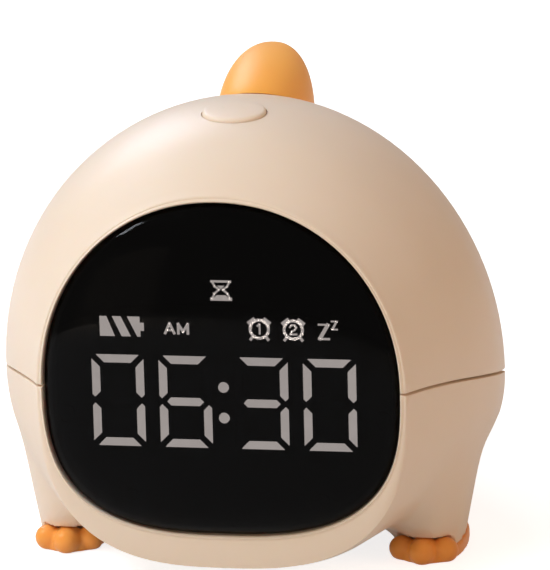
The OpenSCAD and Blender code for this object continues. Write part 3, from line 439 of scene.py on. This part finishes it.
def dress(node, material):
    """Gives a CAD node its finish, in every slot it has."""
    mesh = nodes[node].data
    if not mesh.materials:
        mesh.materials.append(material)
    for i in range(len(mesh.materials)):
        mesh.materials[i] = material


diffuser = lit_plastic("lit_milky_diffuser", "#E8E5DE", 15.0)
dress("lit_bars", diffuser)
black_abs = moulded("black_matt_abs", "#0B0B0C", "#101012", 0.6)
dress("light_housing", black_abs)
# Printed black polyester: flat and even, so nothing of it shows through the window
black_film = moulded("black_printed_film", "#040405", "#050506", 0.55, grain_mm=2.0, height=0.001)
for node in ("segment_mask", "display_frame"):
    dress(node, black_film)
dress("dark_bars", moulded("unlit_bar", "#0B0B0C", "#0E0E0F", 0.5))


def on_screen(x, z, forward):
    """A point of the mask's leaning front, raised by forward millimetres."""
    y = MASK_Y - forward - RIM_BACK
    z -= LENS_MID
    c, s = math.cos(math.atan(LEAN)), math.sin(math.atan(LEAN))
    return at(x, RIM_BACK + y * c + z * s, LENS_MID + z * c - y * s)


def drawn_out(bm, faces):
    """Extrudes faces on the spot, and gives the new points."""
    grown = bmesh.ops.extrude_face_region(bm, geom=faces)
    return [g for g in grown["geom"] if isinstance(g, bmesh.types.BMVert)]


def flat_sign(outlines, thick=0.12, forward=0.1):
    """Thin plates over flat outlines, each a list of (x, z) points, standing on the film."""
    bm = bmesh.new()
    for outline in outlines:
        face = bm.faces.new([bm.verts.new((x, 0, z)) for x, z in outline])
        bmesh.ops.translate(bm, verts=drawn_out(bm, [face]), vec=(0, thick, 0))
    bmesh.ops.recalc_face_normals(bm, faces=bm.faces)
    for v in bm.verts:
        v.co = on_screen(v.co.x, v.co.z, forward + thick - v.co.y)
    return bm


def stroke(points, width, closed=False):
    """A line of the given width through points, as one outline for each stretch."""
    stretches = []
    pairs = list(zip(points, points[1:] + points[:1])) if closed else list(zip(points, points[1:]))
    for (x0, z0), (x1, z1) in pairs:
        length = math.hypot(x1 - x0, z1 - z0)
        ux, uz = (x1 - x0) / length * width / 2, (z1 - z0) / length * width / 2
        x0, z0, x1, z1 = x0 - ux * 0.8, z0 - uz * 0.8, x1 + ux * 0.8, z1 + uz * 0.8
        stretches.append([(x0 - uz, z0 + ux), (x1 - uz, z1 + ux), (x1 + uz, z1 - ux),
                          (x0 + uz, z0 - ux)])
    return stretches


def disc(x, z, r, sides=20):
    turns = [2 * math.pi * i / sides for i in range(sides)]
    return [(x + r * math.cos(turn), z + r * math.sin(turn)) for turn in turns]


# The battery sign: three slanted bars and a knob
battery_sign = [
    [(-28.2, 57.85), (-24.75, 57.85), (-26.6, 62.5), (-28.2, 62.5)],
    [(-23.15, 57.85), (-21.05, 57.85), (-23.3, 62.5), (-25.3, 62.5)],
    [(-19.55, 57.85), (-18.8, 57.85), (-18.8, 59.2), (-17.95, 59.2), (-17.95, 61.1), (-18.9, 61.1),
     (-18.9, 62.5), (-21.8, 62.5)],
]
# An hourglass: two bars, crossing sides, and sand above and below
hourglass = (
    stroke([(-2.1, 71.1), (2.3, 71.1)], 0.5) + stroke([(-2.1, 67.0), (2.3, 67.0)], 0.75)
    + stroke([(-1.9, 71.0), (-1.3, 69.9), (-0.3, 69.2), (-1.4, 68.3), (-1.9, 67.1)], 0.45)
    + stroke([(2.1, 71.0), (1.5, 69.9), (0.5, 69.2), (1.6, 68.3), (2.1, 67.1)], 0.45)
    + [[(-0.75, 70.1), (0.95, 70.1), (0.1, 69.3)]]
    + [[(-1.5, 67.2), (1.7, 67.2), (1.2, 67.9), (-1.0, 67.9)]]
)


def bell_clock(x):
    """A round clock with two bells and two legs."""
    ring = disc(x, 60.2, 2.1, 28)
    bells = [stroke([(x + s * 1.25, 62.45), (x + s * 2.3, 61.65)], 0.85) for s in (-1, 1)]
    legs = [stroke([(x + s * 1.45, 58.5), (x + s * 2.0, 57.8)], 0.65) for s in (-1, 1)]
    return stroke(ring, 0.62, closed=True) + [o for pair in bells + legs for o in pair]


# Two bell clocks numbered 1 and 2, two Zs for snooze, and AM for morning
alarm_signs = bell_clock(8.66) + bell_clock(16.46)
alarm_signs += stroke([(8.25, 60.95), (8.75, 61.3), (8.75, 59.15)], 0.42)
alarm_signs += stroke([(15.7, 60.8), (16.05, 61.3), (16.8, 61.3), (17.15, 60.75), (16.8, 60.2),
                       (16.1, 59.8), (15.75, 59.15), (17.2, 59.15)], 0.42)
snooze = stroke([(22.25, 61.55), (24.5, 61.55)], 0.42) + stroke([(24.35, 61.5), (22.5, 58.3)], 0.85)
snooze += stroke([(22.3, 58.25), (24.6, 58.25)], 0.5) + stroke([(25.2, 62.35), (26.5, 62.35)], 0.35)
snooze += stroke([(26.35, 62.3), (25.4, 60.55)], 0.5) + stroke([(25.3, 60.5), (26.5, 60.5)], 0.35)
morning = stroke([(-13.05, 58.8), (-12.0, 61.1), (-10.95, 58.8)], 0.6)
morning += stroke([(-12.6, 59.5), (-11.4, 59.5)], 0.45)
morning += stroke([(-10.0, 58.8), (-10.0, 61.0), (-8.9, 59.2), (-7.8, 61.0), (-7.8, 58.8)], 0.6)
signs = as_piece("lit_signs", flat_sign(battery_sign + hourglass + alarm_signs + snooze + morning),
                 "clock_body")
signs.data.materials.append(diffuser)
# The film lies behind the row of signs and behind the hourglass
film = [
    [(-30, 57.1), (28.4, 57.1), (28.4, 63.5), (-30, 63.5)],
    [(-3.4, 66.1), (3.4, 66.1), (3.4, 72.0), (-3.4, 72.0)],
]
sign_film = as_piece("sign_film", flat_sign(film, thick=0.08, forward=0.02), "clock_body")
sign_film.data.materials.append(black_film)

# ---- Top button ------------------------------------------------------------------------------
# An oval cap of the same cream ABS, set into the back above the window. Its edge is rounded and
# stands a little proud, with a thin gap all round.
CAP_W, CAP_L, CAP_Y, CAP_GAP = 14.8, 11.6, 33.4, 0.25
CAP_H, CAP_FOOT, CAP_PROUD, CAP_CROWN, CAP_EDGE = 5, 4.6, 0.55, 1.7, 0.7
cap_slope = back(CAP_Y + 0.5) - back(CAP_Y - 0.5)


def oval_prism(w, l, low, high):
    bm = bmesh.new()
    bmesh.ops.create_circle(bm, cap_ends=True, segments=64, radius=0.5)
    bmesh.ops.scale(bm, vec=(w, l, 1), verts=bm.verts)
    bmesh.ops.translate(bm, verts=drawn_out(bm, bm.faces[:]), vec=(0, 0, high - low))
    bmesh.ops.translate(bm, verts=bm.verts, vec=(0, 0, low))
    bmesh.ops.recalc_face_normals(bm, faces=bm.faces)
    return bm


cap = oval_prism(CAP_W, CAP_L, 0, CAP_H)
top_rim = [e for e in cap.edges if all(v.co.z > CAP_H - 0.1 for v in e.verts)]
bmesh.ops.bevel(cap, geom=top_rim, offset=CAP_EDGE, offset_type="OFFSET", segments=5, profile=0.5,
                affect="EDGES", material=-1)
top_face = max(cap.faces, key=lambda f: f.calc_center_median().z * 1000 + f.calc_area())
# Rings on the top, for its crown
for k in range(5):
    bmesh.ops.inset_region(cap, faces=[top_face], thickness=0.85, use_even_offset=True)
for v in cap.verts:
    if v.co.z > CAP_H / 2:
        out = (v.co.x / CAP_W) ** 2 + (v.co.y / CAP_L) ** 2
        v.co.z += back(CAP_Y) + CAP_PROUD - CAP_H + cap_slope * v.co.y - CAP_CROWN * out
    else:
        v.co.z = back(CAP_Y) - CAP_FOOT
    v.co = at(v.co.x, v.co.y + CAP_Y, v.co.z)
bmesh.ops.recalc_face_normals(cap, faces=cap.faces)
button = as_piece("light_button_cap", cap, "light_button", "top_button")
button.data.materials.append(cream)


def cut(piece, cutter, way="DIFFERENCE"):
    """Cuts a closed mesh out of a piece for good, or joins it to the piece."""
    tool = put("cutter", as_mesh("cutter", cutter))
    boolean = piece.modifiers.new("cut", "BOOLEAN")
    boolean.operation = way
    boolean.solver = "MANIFOLD"
    boolean.object = tool
    bpy.context.view_layer.update()
    result = piece.evaluated_get(bpy.context.evaluated_depsgraph_get())
    done = bpy.data.meshes.new_from_object(result)
    old = piece.data
    piece.modifiers.clear()
    piece.data = done
    done.name = piece.name
    bpy.data.meshes.remove(old)
    bpy.data.objects.remove(tool)


hole = oval_prism(CAP_W + 2 * CAP_GAP, CAP_L + 2 * CAP_GAP, -8, 0)
for v in hole.verts:
    if v.co.z > -1:
        v.co.z = 1 + cap_slope * v.co.y
    v.co = at(v.co.x, v.co.y + CAP_Y, v.co.z + back(CAP_Y))
cut(upper_case, hole)

# ---- Screw wells, key holes, grille and socket pocket ----------------------------------------
# The belly is moulded with four deep wells for the case screws, four holes with collars for the
# setting keys and a slotted grille under the speaker. A pocket in the left side holds the socket.
WELLS, WELL_R, POST_R, WELL_UNDER_SEAM, IN_SKIN = [(31, 25), (38, 72)], 2.9, 3.4, 7.0, 0.8
KEY_Y, KEY_PITCH, KEY_HOLE_R, COLLAR_R, COLLAR_TOP = 66.0, 14.0, 3.7, 4.7, 7.8
SLOT_W, SLOT_PITCH, GRILLE_Y, GRILLE_R, GRILLE_TOP = 1.6, 3.84, 88.0, 8.0, 7.6
POCKET_Y, POCKET_Z, POCKET_W, POCKET_H, POCKET_IN, POCKET_WALL = 62.0, 23.2, 12.6, 7.0, 48.95, 1.2


def round_share(share, n):
    """Height of a unit outline of squareness n over a share of its width."""
    return (1 - min(1.0, abs(share)) ** n) ** (1 / n)


def belly_under(x, y):
    """Height of the belly's skin over a place on the table."""
    return seam(y) - (seam(y) - belly(y)) * round_share(x / half_width(y), squareness(y))


def side_beside(y, z):
    """Distance of the lower skin from the middle plane."""
    return half_width(y) * round_share((seam(y) - z) / (seam(y) - belly(y)), squareness(y))


def peg(bm, x, y, r, low, high):
    """A closed round bar, from the height low(x, y) up to high."""
    base = bmesh.ops.create_circle(bm, cap_ends=True, segments=48, radius=r)["verts"]
    for v in drawn_out(bm, list({f for v in base for f in v.link_faces})):
        v.co = (v.co.x + x, v.co.y + y, high)
    for v in base:
        v.co = (v.co.x + x, v.co.y + y, low(v.co.x + x, v.co.y + y))


def to_frame(bm):
    for v in bm.verts:
        v.co = at(*v.co)
    bmesh.ops.recalc_face_normals(bm, faces=bm.faces)
    return bm


well_places = [(s * x, y) for x, y in WELLS for s in (-1, 1)]
key_places = [((i - 1.5) * KEY_PITCH, KEY_Y) for i in range(4)]
posts, holes = bmesh.new(), bmesh.new()
for x, y in well_places:
    well_top = seam(y) - WELL_UNDER_SEAM
    peg(posts, x, y, POST_R, lambda u, v: belly_under(u, v) + IN_SKIN, well_top + 2)
    peg(holes, x, y, WELL_R, lambda u, v: -2, well_top)
for x, y in key_places:
    peg(posts, x, y, COLLAR_R, lambda u, v: belly_under(u, v) + IN_SKIN, COLLAR_TOP)
    peg(holes, x, y, KEY_HOLE_R, lambda u, v: -2, COLLAR_TOP + 1)
for i in range(-2, 3):
    x = i * SLOT_PITCH
    long = 2 * math.sqrt(GRILLE_R ** 2 - x ** 2)
    bmesh.ops.create_cube(holes, size=1, matrix=(
        Matrix.Translation((x, GRILLE_Y, GRILLE_TOP / 2 - 1))
        @ Matrix.Diagonal((SLOT_W, long, GRILLE_TOP + 2, 1))
    ))
# The pocket's sleeve ends on the inside of the skin, 1 mm under its surface
sleeve = bmesh.new()
bmesh.ops.create_cube(sleeve, size=1)
bmesh.ops.subdivide_edges(sleeve, edges=sleeve.edges[:], cuts=7, use_grid_fill=True)
for v in sleeve.verts:
    y = POCKET_Y + v.co.y * (POCKET_W + 2 * POCKET_WALL)
    z = POCKET_Z + v.co.z * (POCKET_H + 2 * POCKET_WALL)
    v.co = (-POCKET_IN if v.co.x > 0 else 1.0 - side_beside(y, z), y, z)
    if v.co.x > -POCKET_IN - 0.01:
        v.co.x = -POCKET_IN
sleeve_mesh = as_mesh("sleeve", sleeve)
posts.from_mesh(sleeve_mesh)
bpy.data.meshes.remove(sleeve_mesh)
pocket = bmesh.ops.create_cube(holes, size=1, matrix=(
    Matrix.Translation((-POCKET_IN - 10, POCKET_Y, POCKET_Z))
    @ Matrix.Diagonal((20, POCKET_W, POCKET_H, 1))
))["verts"]
corners = [e for e in holes.edges if all(v in pocket for v in e.verts)
           and abs(e.verts[0].co.x - e.verts[1].co.x) > 1]
bmesh.ops.bevel(holes, geom=corners, offset=2.0, offset_type="OFFSET", segments=6, profile=0.5,
                affect="EDGES", material=-1)
cut(lower_case, to_frame(posts), "UNION")
cut(lower_case, to_frame(holes))
for piece in (upper_case, lower_case):
    piece.data.shade_smooth()
    piece.data.set_sharp_from_angle(angle=math.radians(35))

# ---- Back spikes -----------------------------------------------------------------------------
# Four fins of soft orange silicone that let the night light through, each with barbed stems that
# hold it in the upper shell. Each is round in front, leans back, and follows the back's curve.
# In percent of the body: front and back of the base, half width, tip depth, tip height
SPIKES = [
    (43.69, 66.15, 19.22, 63.85, 104.52),
    (66.77, 76.77, 15.99, 82.69, 79.57),
    (77.38, 82.46, 13.27, 89.23, 55.56),
    (83.08, 89.54, 10.2, 93.08, 37.48),
]
# How full a spike is from side to side, and from front to back
WIDE_N, LONG_N = 2.1, 1.25


def back_above(x, y):
    """Height of the upper skin beside the middle plane."""
    return seam(y) + (back(y) - seam(y)) * math.sqrt(max(0, 1 - (x / half_width(y)) ** 2))


def lift(y):
    """A spike's foot stands a little over the skin."""
    return 0.3 * fall(back, y)


silicone = moulded("orange_soft_silicone", "#FFB65A", "#FBAC4C", 0.4, grain_mm=0.9, soft=0.35)
# A faint painted glow makes the spikes brighter, though the night light behind them is off
silicone_painted_glow = silicone.node_tree.nodes["Principled BSDF"]
silicone_painted_glow.inputs["Emission Color"].default_value = srgb("#FFAA50")
silicone_painted_glow.inputs["Emission Strength"].default_value = 0.06
for number, fin_row in enumerate(SPIKES, 1):
    sizes = zip(fin_row, (BODY_L, BODY_L, BODY_W / 2, BODY_L, BODY_H))
    y0, y1, half, tip_y, tip_z = (percent / 100 * size for percent, size in sizes)
    middle = (y0 + y1) / 2
    base = Vector((0, middle, back(middle) + lift(middle)))
    way = Vector((0, tip_y, tip_z)) - base
    slope = (back(y1) - back(y0)) / (y1 - y0)
    along = Vector((0, 1, slope)).normalized()
    fin = bmesh.new()
    bmesh.ops.create_uvsphere(fin, u_segments=72, v_segments=56, radius=1.0)
    for v in fin.verts:
        a = math.atan2(v.co.y, v.co.x)
        r = min(1.0, math.hypot(v.co.x, v.co.y))
        under = v.co.z < -1e-4
        share = r if under else 1.0
        x, y = half * math.cos(a) * share, middle + (y1 - y0) / 2 * math.sin(a) * share
        foot = Vector((x, y, back_above(x, y) + lift(y)))
        if under:
            v.co = at(*foot)
            continue
        h = math.sqrt(1 - r * r)
        p = foot - base
        off = p - Vector((p.x, 0, 0)) - along * p.dot(along)
        wide = (1 - h ** WIDE_N) ** (1 / WIDE_N)
        long = (1 - h ** LONG_N) ** (1 / LONG_N)
        p = base + way * h + Vector((p.x * wide, 0, 0)) + along * p.dot(along) * long + off * (1 - h)
        v.co = at(*p)
    bmesh.ops.recalc_face_normals(fin, faces=fin.faces)
    foot_rim = [e for e in fin.edges if e.calc_face_angle(0) > 0.9 and e.calc_length() > 1e-5]
    bmesh.ops.bevel(fin, geom=foot_rim, offset=0.0005, offset_type="OFFSET", segments=3, profile=0.5,
                    affect="EDGES", clamp_overlap=True, material=-1)
    spike = as_piece(f"back_spike_{number}", fin, "clock_body", f"spike_{number}", smooth_to=80)
    spike.data.materials.append(silicone)

# ---- Feet ------------------------------------------------------------------------------------
# A soft orange foot under each leg, moulded in one: a sole that stands out a little all round,
# and three round toes in front that flow into it and run back under the leg.
# Toes: millimetres out from the leg's middle, half width, step back from the foremost, and height
TOES = [(-5.3, 3.2, 3.2, 5.7), (-0.2, 3.2, 0.0, 5.85), (4.8, 3.2, 2.6, 5.7)]
TOE_FRONT, TOE_END, TOE_DEPTH = LEG_Y - LEG_L / 2 - 2.8, LEG_Y - LEG_L / 2 + 5.5, 3.0
SOLE_OUT = 0.55
rubber = moulded("orange_foot_rubber", "#F8A74E", "#F09943", 0.36, grain_mm=0.9, soft=0.15)
for side, name in ((-1, "left"), (1, "right")):
    foot = bmesh.new()
    bmesh.ops.create_circle(foot, cap_ends=True, segments=96, radius=1.0)
    bmesh.ops.translate(foot, verts=drawn_out(foot, foot.faces[:]), vec=(0, 0, 1))
    for v in foot.verts:
        a = math.atan2(v.co.y, v.co.x)
        v.co.x = side * LEG_X + (LEG_W / 2 + SOLE_OUT) * power(math.cos(a), 2 / LEG_N)
        v.co.y = LEG_Y + (LEG_L / 2 + SOLE_OUT) * power(math.sin(a), 2 / LEG_N)
        v.co.z *= SOLE_H
    for out, half, step, high in TOES:
        toe = bmesh.ops.create_uvsphere(foot, u_segments=48, v_segments=32, radius=1.0)["verts"]
        for v in toe:
            v.co.x = v.co.x * half + side * (LEG_X + out)
            middle = TOE_END - TOE_DEPTH if v.co.y > 0 else TOE_FRONT + step + TOE_DEPTH
            v.co.y = v.co.y * TOE_DEPTH + middle
            v.co.z = high / 2 - 0.25 + v.co.z * (high / 2 + 0.3)
            v.co.z = max(0.0, v.co.z)
    for v in foot.verts:
        v.co = at(*v.co)
    bmesh.ops.recalc_face_normals(foot, faces=foot.faces)
    piece = as_piece(f"{name}_foot", foot, "clock_body", f"foot_{name}", smooth_to=80)
    merge = piece.modifiers.new("merge", "REMESH")
    merge.mode = "VOXEL"
    merge.voxel_size = 0.0003
    merge.use_smooth_shade = True
    soften = piece.modifiers.new("soften", "SMOOTH")
    soften.factor = 0.5
    soften.iterations = 22
    piece.data.materials.append(rubber)

# ---- Keys, plungers and boards ---------------------------------------------------------------
# Four round keys under the belly press switches on a small board through short black plungers, and
# the top button does the same. The boards are glass-fibre sheet, screwed to posts in the shells.
for node in ("key_alarm", "key_set", "key_up", "key_down"):
    dress(node, cream)
# Acetal, moulded: slippery, with a dull even gloss
acetal = moulded("black_acetal", "#17171A", "#1C1C1F", 0.42, grain_mm=1.2, height=0.003)
for node in ("top_plunger", "plunger_alarm", "plunger_set", "plunger_up", "plunger_down"):
    dress(node, acetal)


def plated(name, base, shade, rough, streak_mm):
    """A bare or plated metal: even colour, and a gloss that varies along fine marks."""
    material, body = new_material(name)
    place = add(material, "ShaderNodeTexCoord")
    marks = add(material, "ShaderNodeTexNoise", {"Scale": 1000 / streak_mm, "Detail": 4.0},
                {"Vector": place.outputs["Object"]})
    tint = add(material, "ShaderNodeMix", {"data_type": "RGBA", 6: srgb(base), 7: srgb(shade)},
               {0: marks.outputs["Fac"]})
    gloss = add(material, "ShaderNodeMapRange", {"To Min": rough - 0.07, "To Max": rough + 0.07},
                {"Value": marks.outputs["Fac"]})
    material.node_tree.links.new(tint.outputs[2], body.inputs["Base Color"])
    material.node_tree.links.new(gloss.outputs["Result"], body.inputs["Roughness"])
    body.inputs["Metallic"].default_value = 1.0
    return material


# Zinc-plated steel, rolled and tumbled: a cool grey with a soft sheen
zinc = plated("zinc_plated_steel", "#C6C9CC", "#B2B5BA", 0.34, 0.6)
for node in ("housing_screws", "button_screws", "light_screws", "board_screws", "speaker_screws",
             "key_screws", "case_screws"):
    dress(node, zinc)
# Black oxide on steel: the frame's screws stay dark behind the window
dress("frame_screws", plated("black_oxide_steel", "#08080A", "#0B0B0C", 0.66, 0.6))
# Tin-plated sheet steel, stamped: brighter, as on switches, sockets and crystal cans
tin = plated("tin_plated_sheet", "#DAD8D2", "#C9C7C1", 0.26, 1.5)
for node in ("top_switch", "key_switches", "clock_crystal", "usb_socket"):
    dress(node, tin)
# Solder mask over glass fibre: deep green under a clear gloss
solder_mask = moulded("green_solder_mask", "#1B5A36", "#164C2E", 0.28, grain_mm=1.0, height=0.002)
for node in ("display_board", "button_board", "light_board", "main_board", "key_board"):
    dress(node, solder_mask)
# Epoxy, transfer moulded: a fine matt charcoal
dress("controller_chip", moulded("charcoal_chip_epoxy", "#26272A", "#2C2D30", 0.62, grain_mm=0.5))
# Nylon, moulded: ivory and slightly waxy
nylon = moulded("ivory_nylon", "#DDD5BC", "#D3CAAE", 0.42, grain_mm=1.5, height=0.003)
for node in ("display_plug", "ribbon_header"):
    dress(node, nylon)
# Silicone lens resin over the LED chips: milky, with a touch of yellow
resin = moulded("yellowish_led_resin", "#F1EBCB", "#E9DFAF", 0.35, grain_mm=1.5, height=0.002)
for node in ("display_leds", "light_leds"):
    dress(node, resin)
# Flat cable in grey vinyl: smooth and slightly shiny
dress("display_ribbon", moulded("grey_vinyl_cable", "#B4B5B2", "#A9AAA7", 0.4, grain_mm=1.3))

# ---- Battery and speaker ---------------------------------------------------------------------
# A flat pouch cell of aluminium foil lies on a foam pad. The speaker has a moulded basket, a
# pressed plastic cone over the grille, and a nickel-plated magnet cup.
dress("battery", plated("pouch_cell_foil", "#CDD0D3", "#BFC2C6", 0.38, 4.0))
# Closed-cell foam: dull, with pores of about half a millimetre
dress("battery_foam", moulded("black_cell_foam", "#1F1F20", "#2B2B2C", 0.9, grain_mm=0.5, height=0.12))
dress("speaker_basket", black_abs)
# Polypropylene film, pressed: black with a low sheen
dress("speaker_cone", moulded("black_cone_film", "#151516", "#1B1B1C", 0.5, grain_mm=0.9))
# Nickel on steel, turned: warm and bright
dress("speaker_magnet", plated("nickel_plated_cup", "#CFC9BE", "#BDB7AC", 0.3, 0.9))

# ---- Floor, backdrop and light ---------------------------------------------------------------
# A plain pale table that runs on out of sight, and a faint even sky. Soft lamps stand high on the
# left, low in front and on the right, and behind; a small one high on the left glints in the window.
floor = bmesh.new()
bmesh.ops.create_grid(floor, x_segments=1, y_segments=1, size=6.0)
table = put("table", as_mesh("table", floor))
tabletop, surface = new_material("pale_table")
# How white the table and the sky are where a gloss mirrors them
MIRRORED = 0.35


def seen_as_white(material):
    """1 where the eye meets the surface, also through glass, and less where a gloss mirrors it."""
    path = add(material, "ShaderNodeLightPath")
    clear = add(material, "ShaderNodeMath", {"operation": "MAXIMUM"},
                {0: path.outputs["Is Camera Ray"], 1: path.outputs["Is Transmission Ray"]})
    dim = add(material, "ShaderNodeMath", {"operation": "MULTIPLY", 1: MIRRORED},
              {0: path.outputs["Is Glossy Ray"]})
    return add(material, "ShaderNodeMath", {"operation": "MAXIMUM"},
               {0: clear.outputs[0], 1: dim.outputs[0]})


seen = seen_as_white(tabletop)
surface.inputs["Base Color"].default_value = srgb("#D2CFCC")
surface.inputs["Roughness"].default_value = 0.7
white = add(tabletop, "ShaderNodeEmission", {"Color": (1, 1, 1, 1), "Strength": 0.8})
blend = add(tabletop, "ShaderNodeAddShader", {}, {0: surface.outputs[0], 1: white.outputs[0]})
pick = add(tabletop, "ShaderNodeMixShader", {},
           {0: seen.outputs[0], 1: surface.outputs[0], 2: blend.outputs[0]})
tabletop_end = tabletop.node_tree.nodes["Material Output"]
tabletop.node_tree.links.new(pick.outputs[0], tabletop_end.inputs["Surface"])
table.data.materials.append(tabletop)

sky = bpy.data.worlds.new("even_sky")
sky.use_nodes = True
scene.world = sky
even = sky.node_tree.nodes["Background"]
even.inputs["Color"].default_value = srgb("#FFDDBC")
even.inputs["Strength"].default_value = 0.15
behind = add(sky, "ShaderNodeBackground", {"Color": (1, 1, 1, 1), "Strength": 1.0})
choose = add(sky, "ShaderNodeMixShader", {},
             {0: seen_as_white(sky).outputs[0], 1: even.outputs[0], 2: behind.outputs[0]})
sky.node_tree.links.new(choose.outputs[0], sky.node_tree.nodes["World Output"].inputs["Surface"])


def soft_lamp(name, place, size, power, tint, mirrored=True):
    """A large soft lamp that faces the clock. An unmirrored one doesn't show in glossy pieces."""
    lamp = bpy.data.lights.new(name, "AREA")
    lamp.shape = "SQUARE"
    lamp.size = size
    lamp.energy = power
    lamp.color = srgb(tint)[:3]
    holder = put(name, lamp)
    holder.visible_glossy = mirrored
    holder.location = place
    holder.rotation_mode = "QUATERNION"
    holder.rotation_quaternion = (clock_middle - Vector(place)).to_track_quat("-Z", "Y")


soft_lamp("overhead_light", (-0.6, -0.5, 1.22), 0.7, 11.4, "#E2F0FF", mirrored=False)
soft_lamp("window_glint", (-0.95, -0.45, 0.95), 0.24, 3.3, "#F2F7FF")
soft_lamp("front_bounce", (-0.8, -1.15, 0.14), 0.7, 8.8, "#FFEFD8", mirrored=False)
soft_lamp("rear_rim", (-0.7, 0.8, 0.95), 0.7, 5.6, "#E6EAFF")
soft_lamp("side_fill", (1.25, -0.3, 0.5), 0.7, 5.4, "#FFDAB8", mirrored=False)
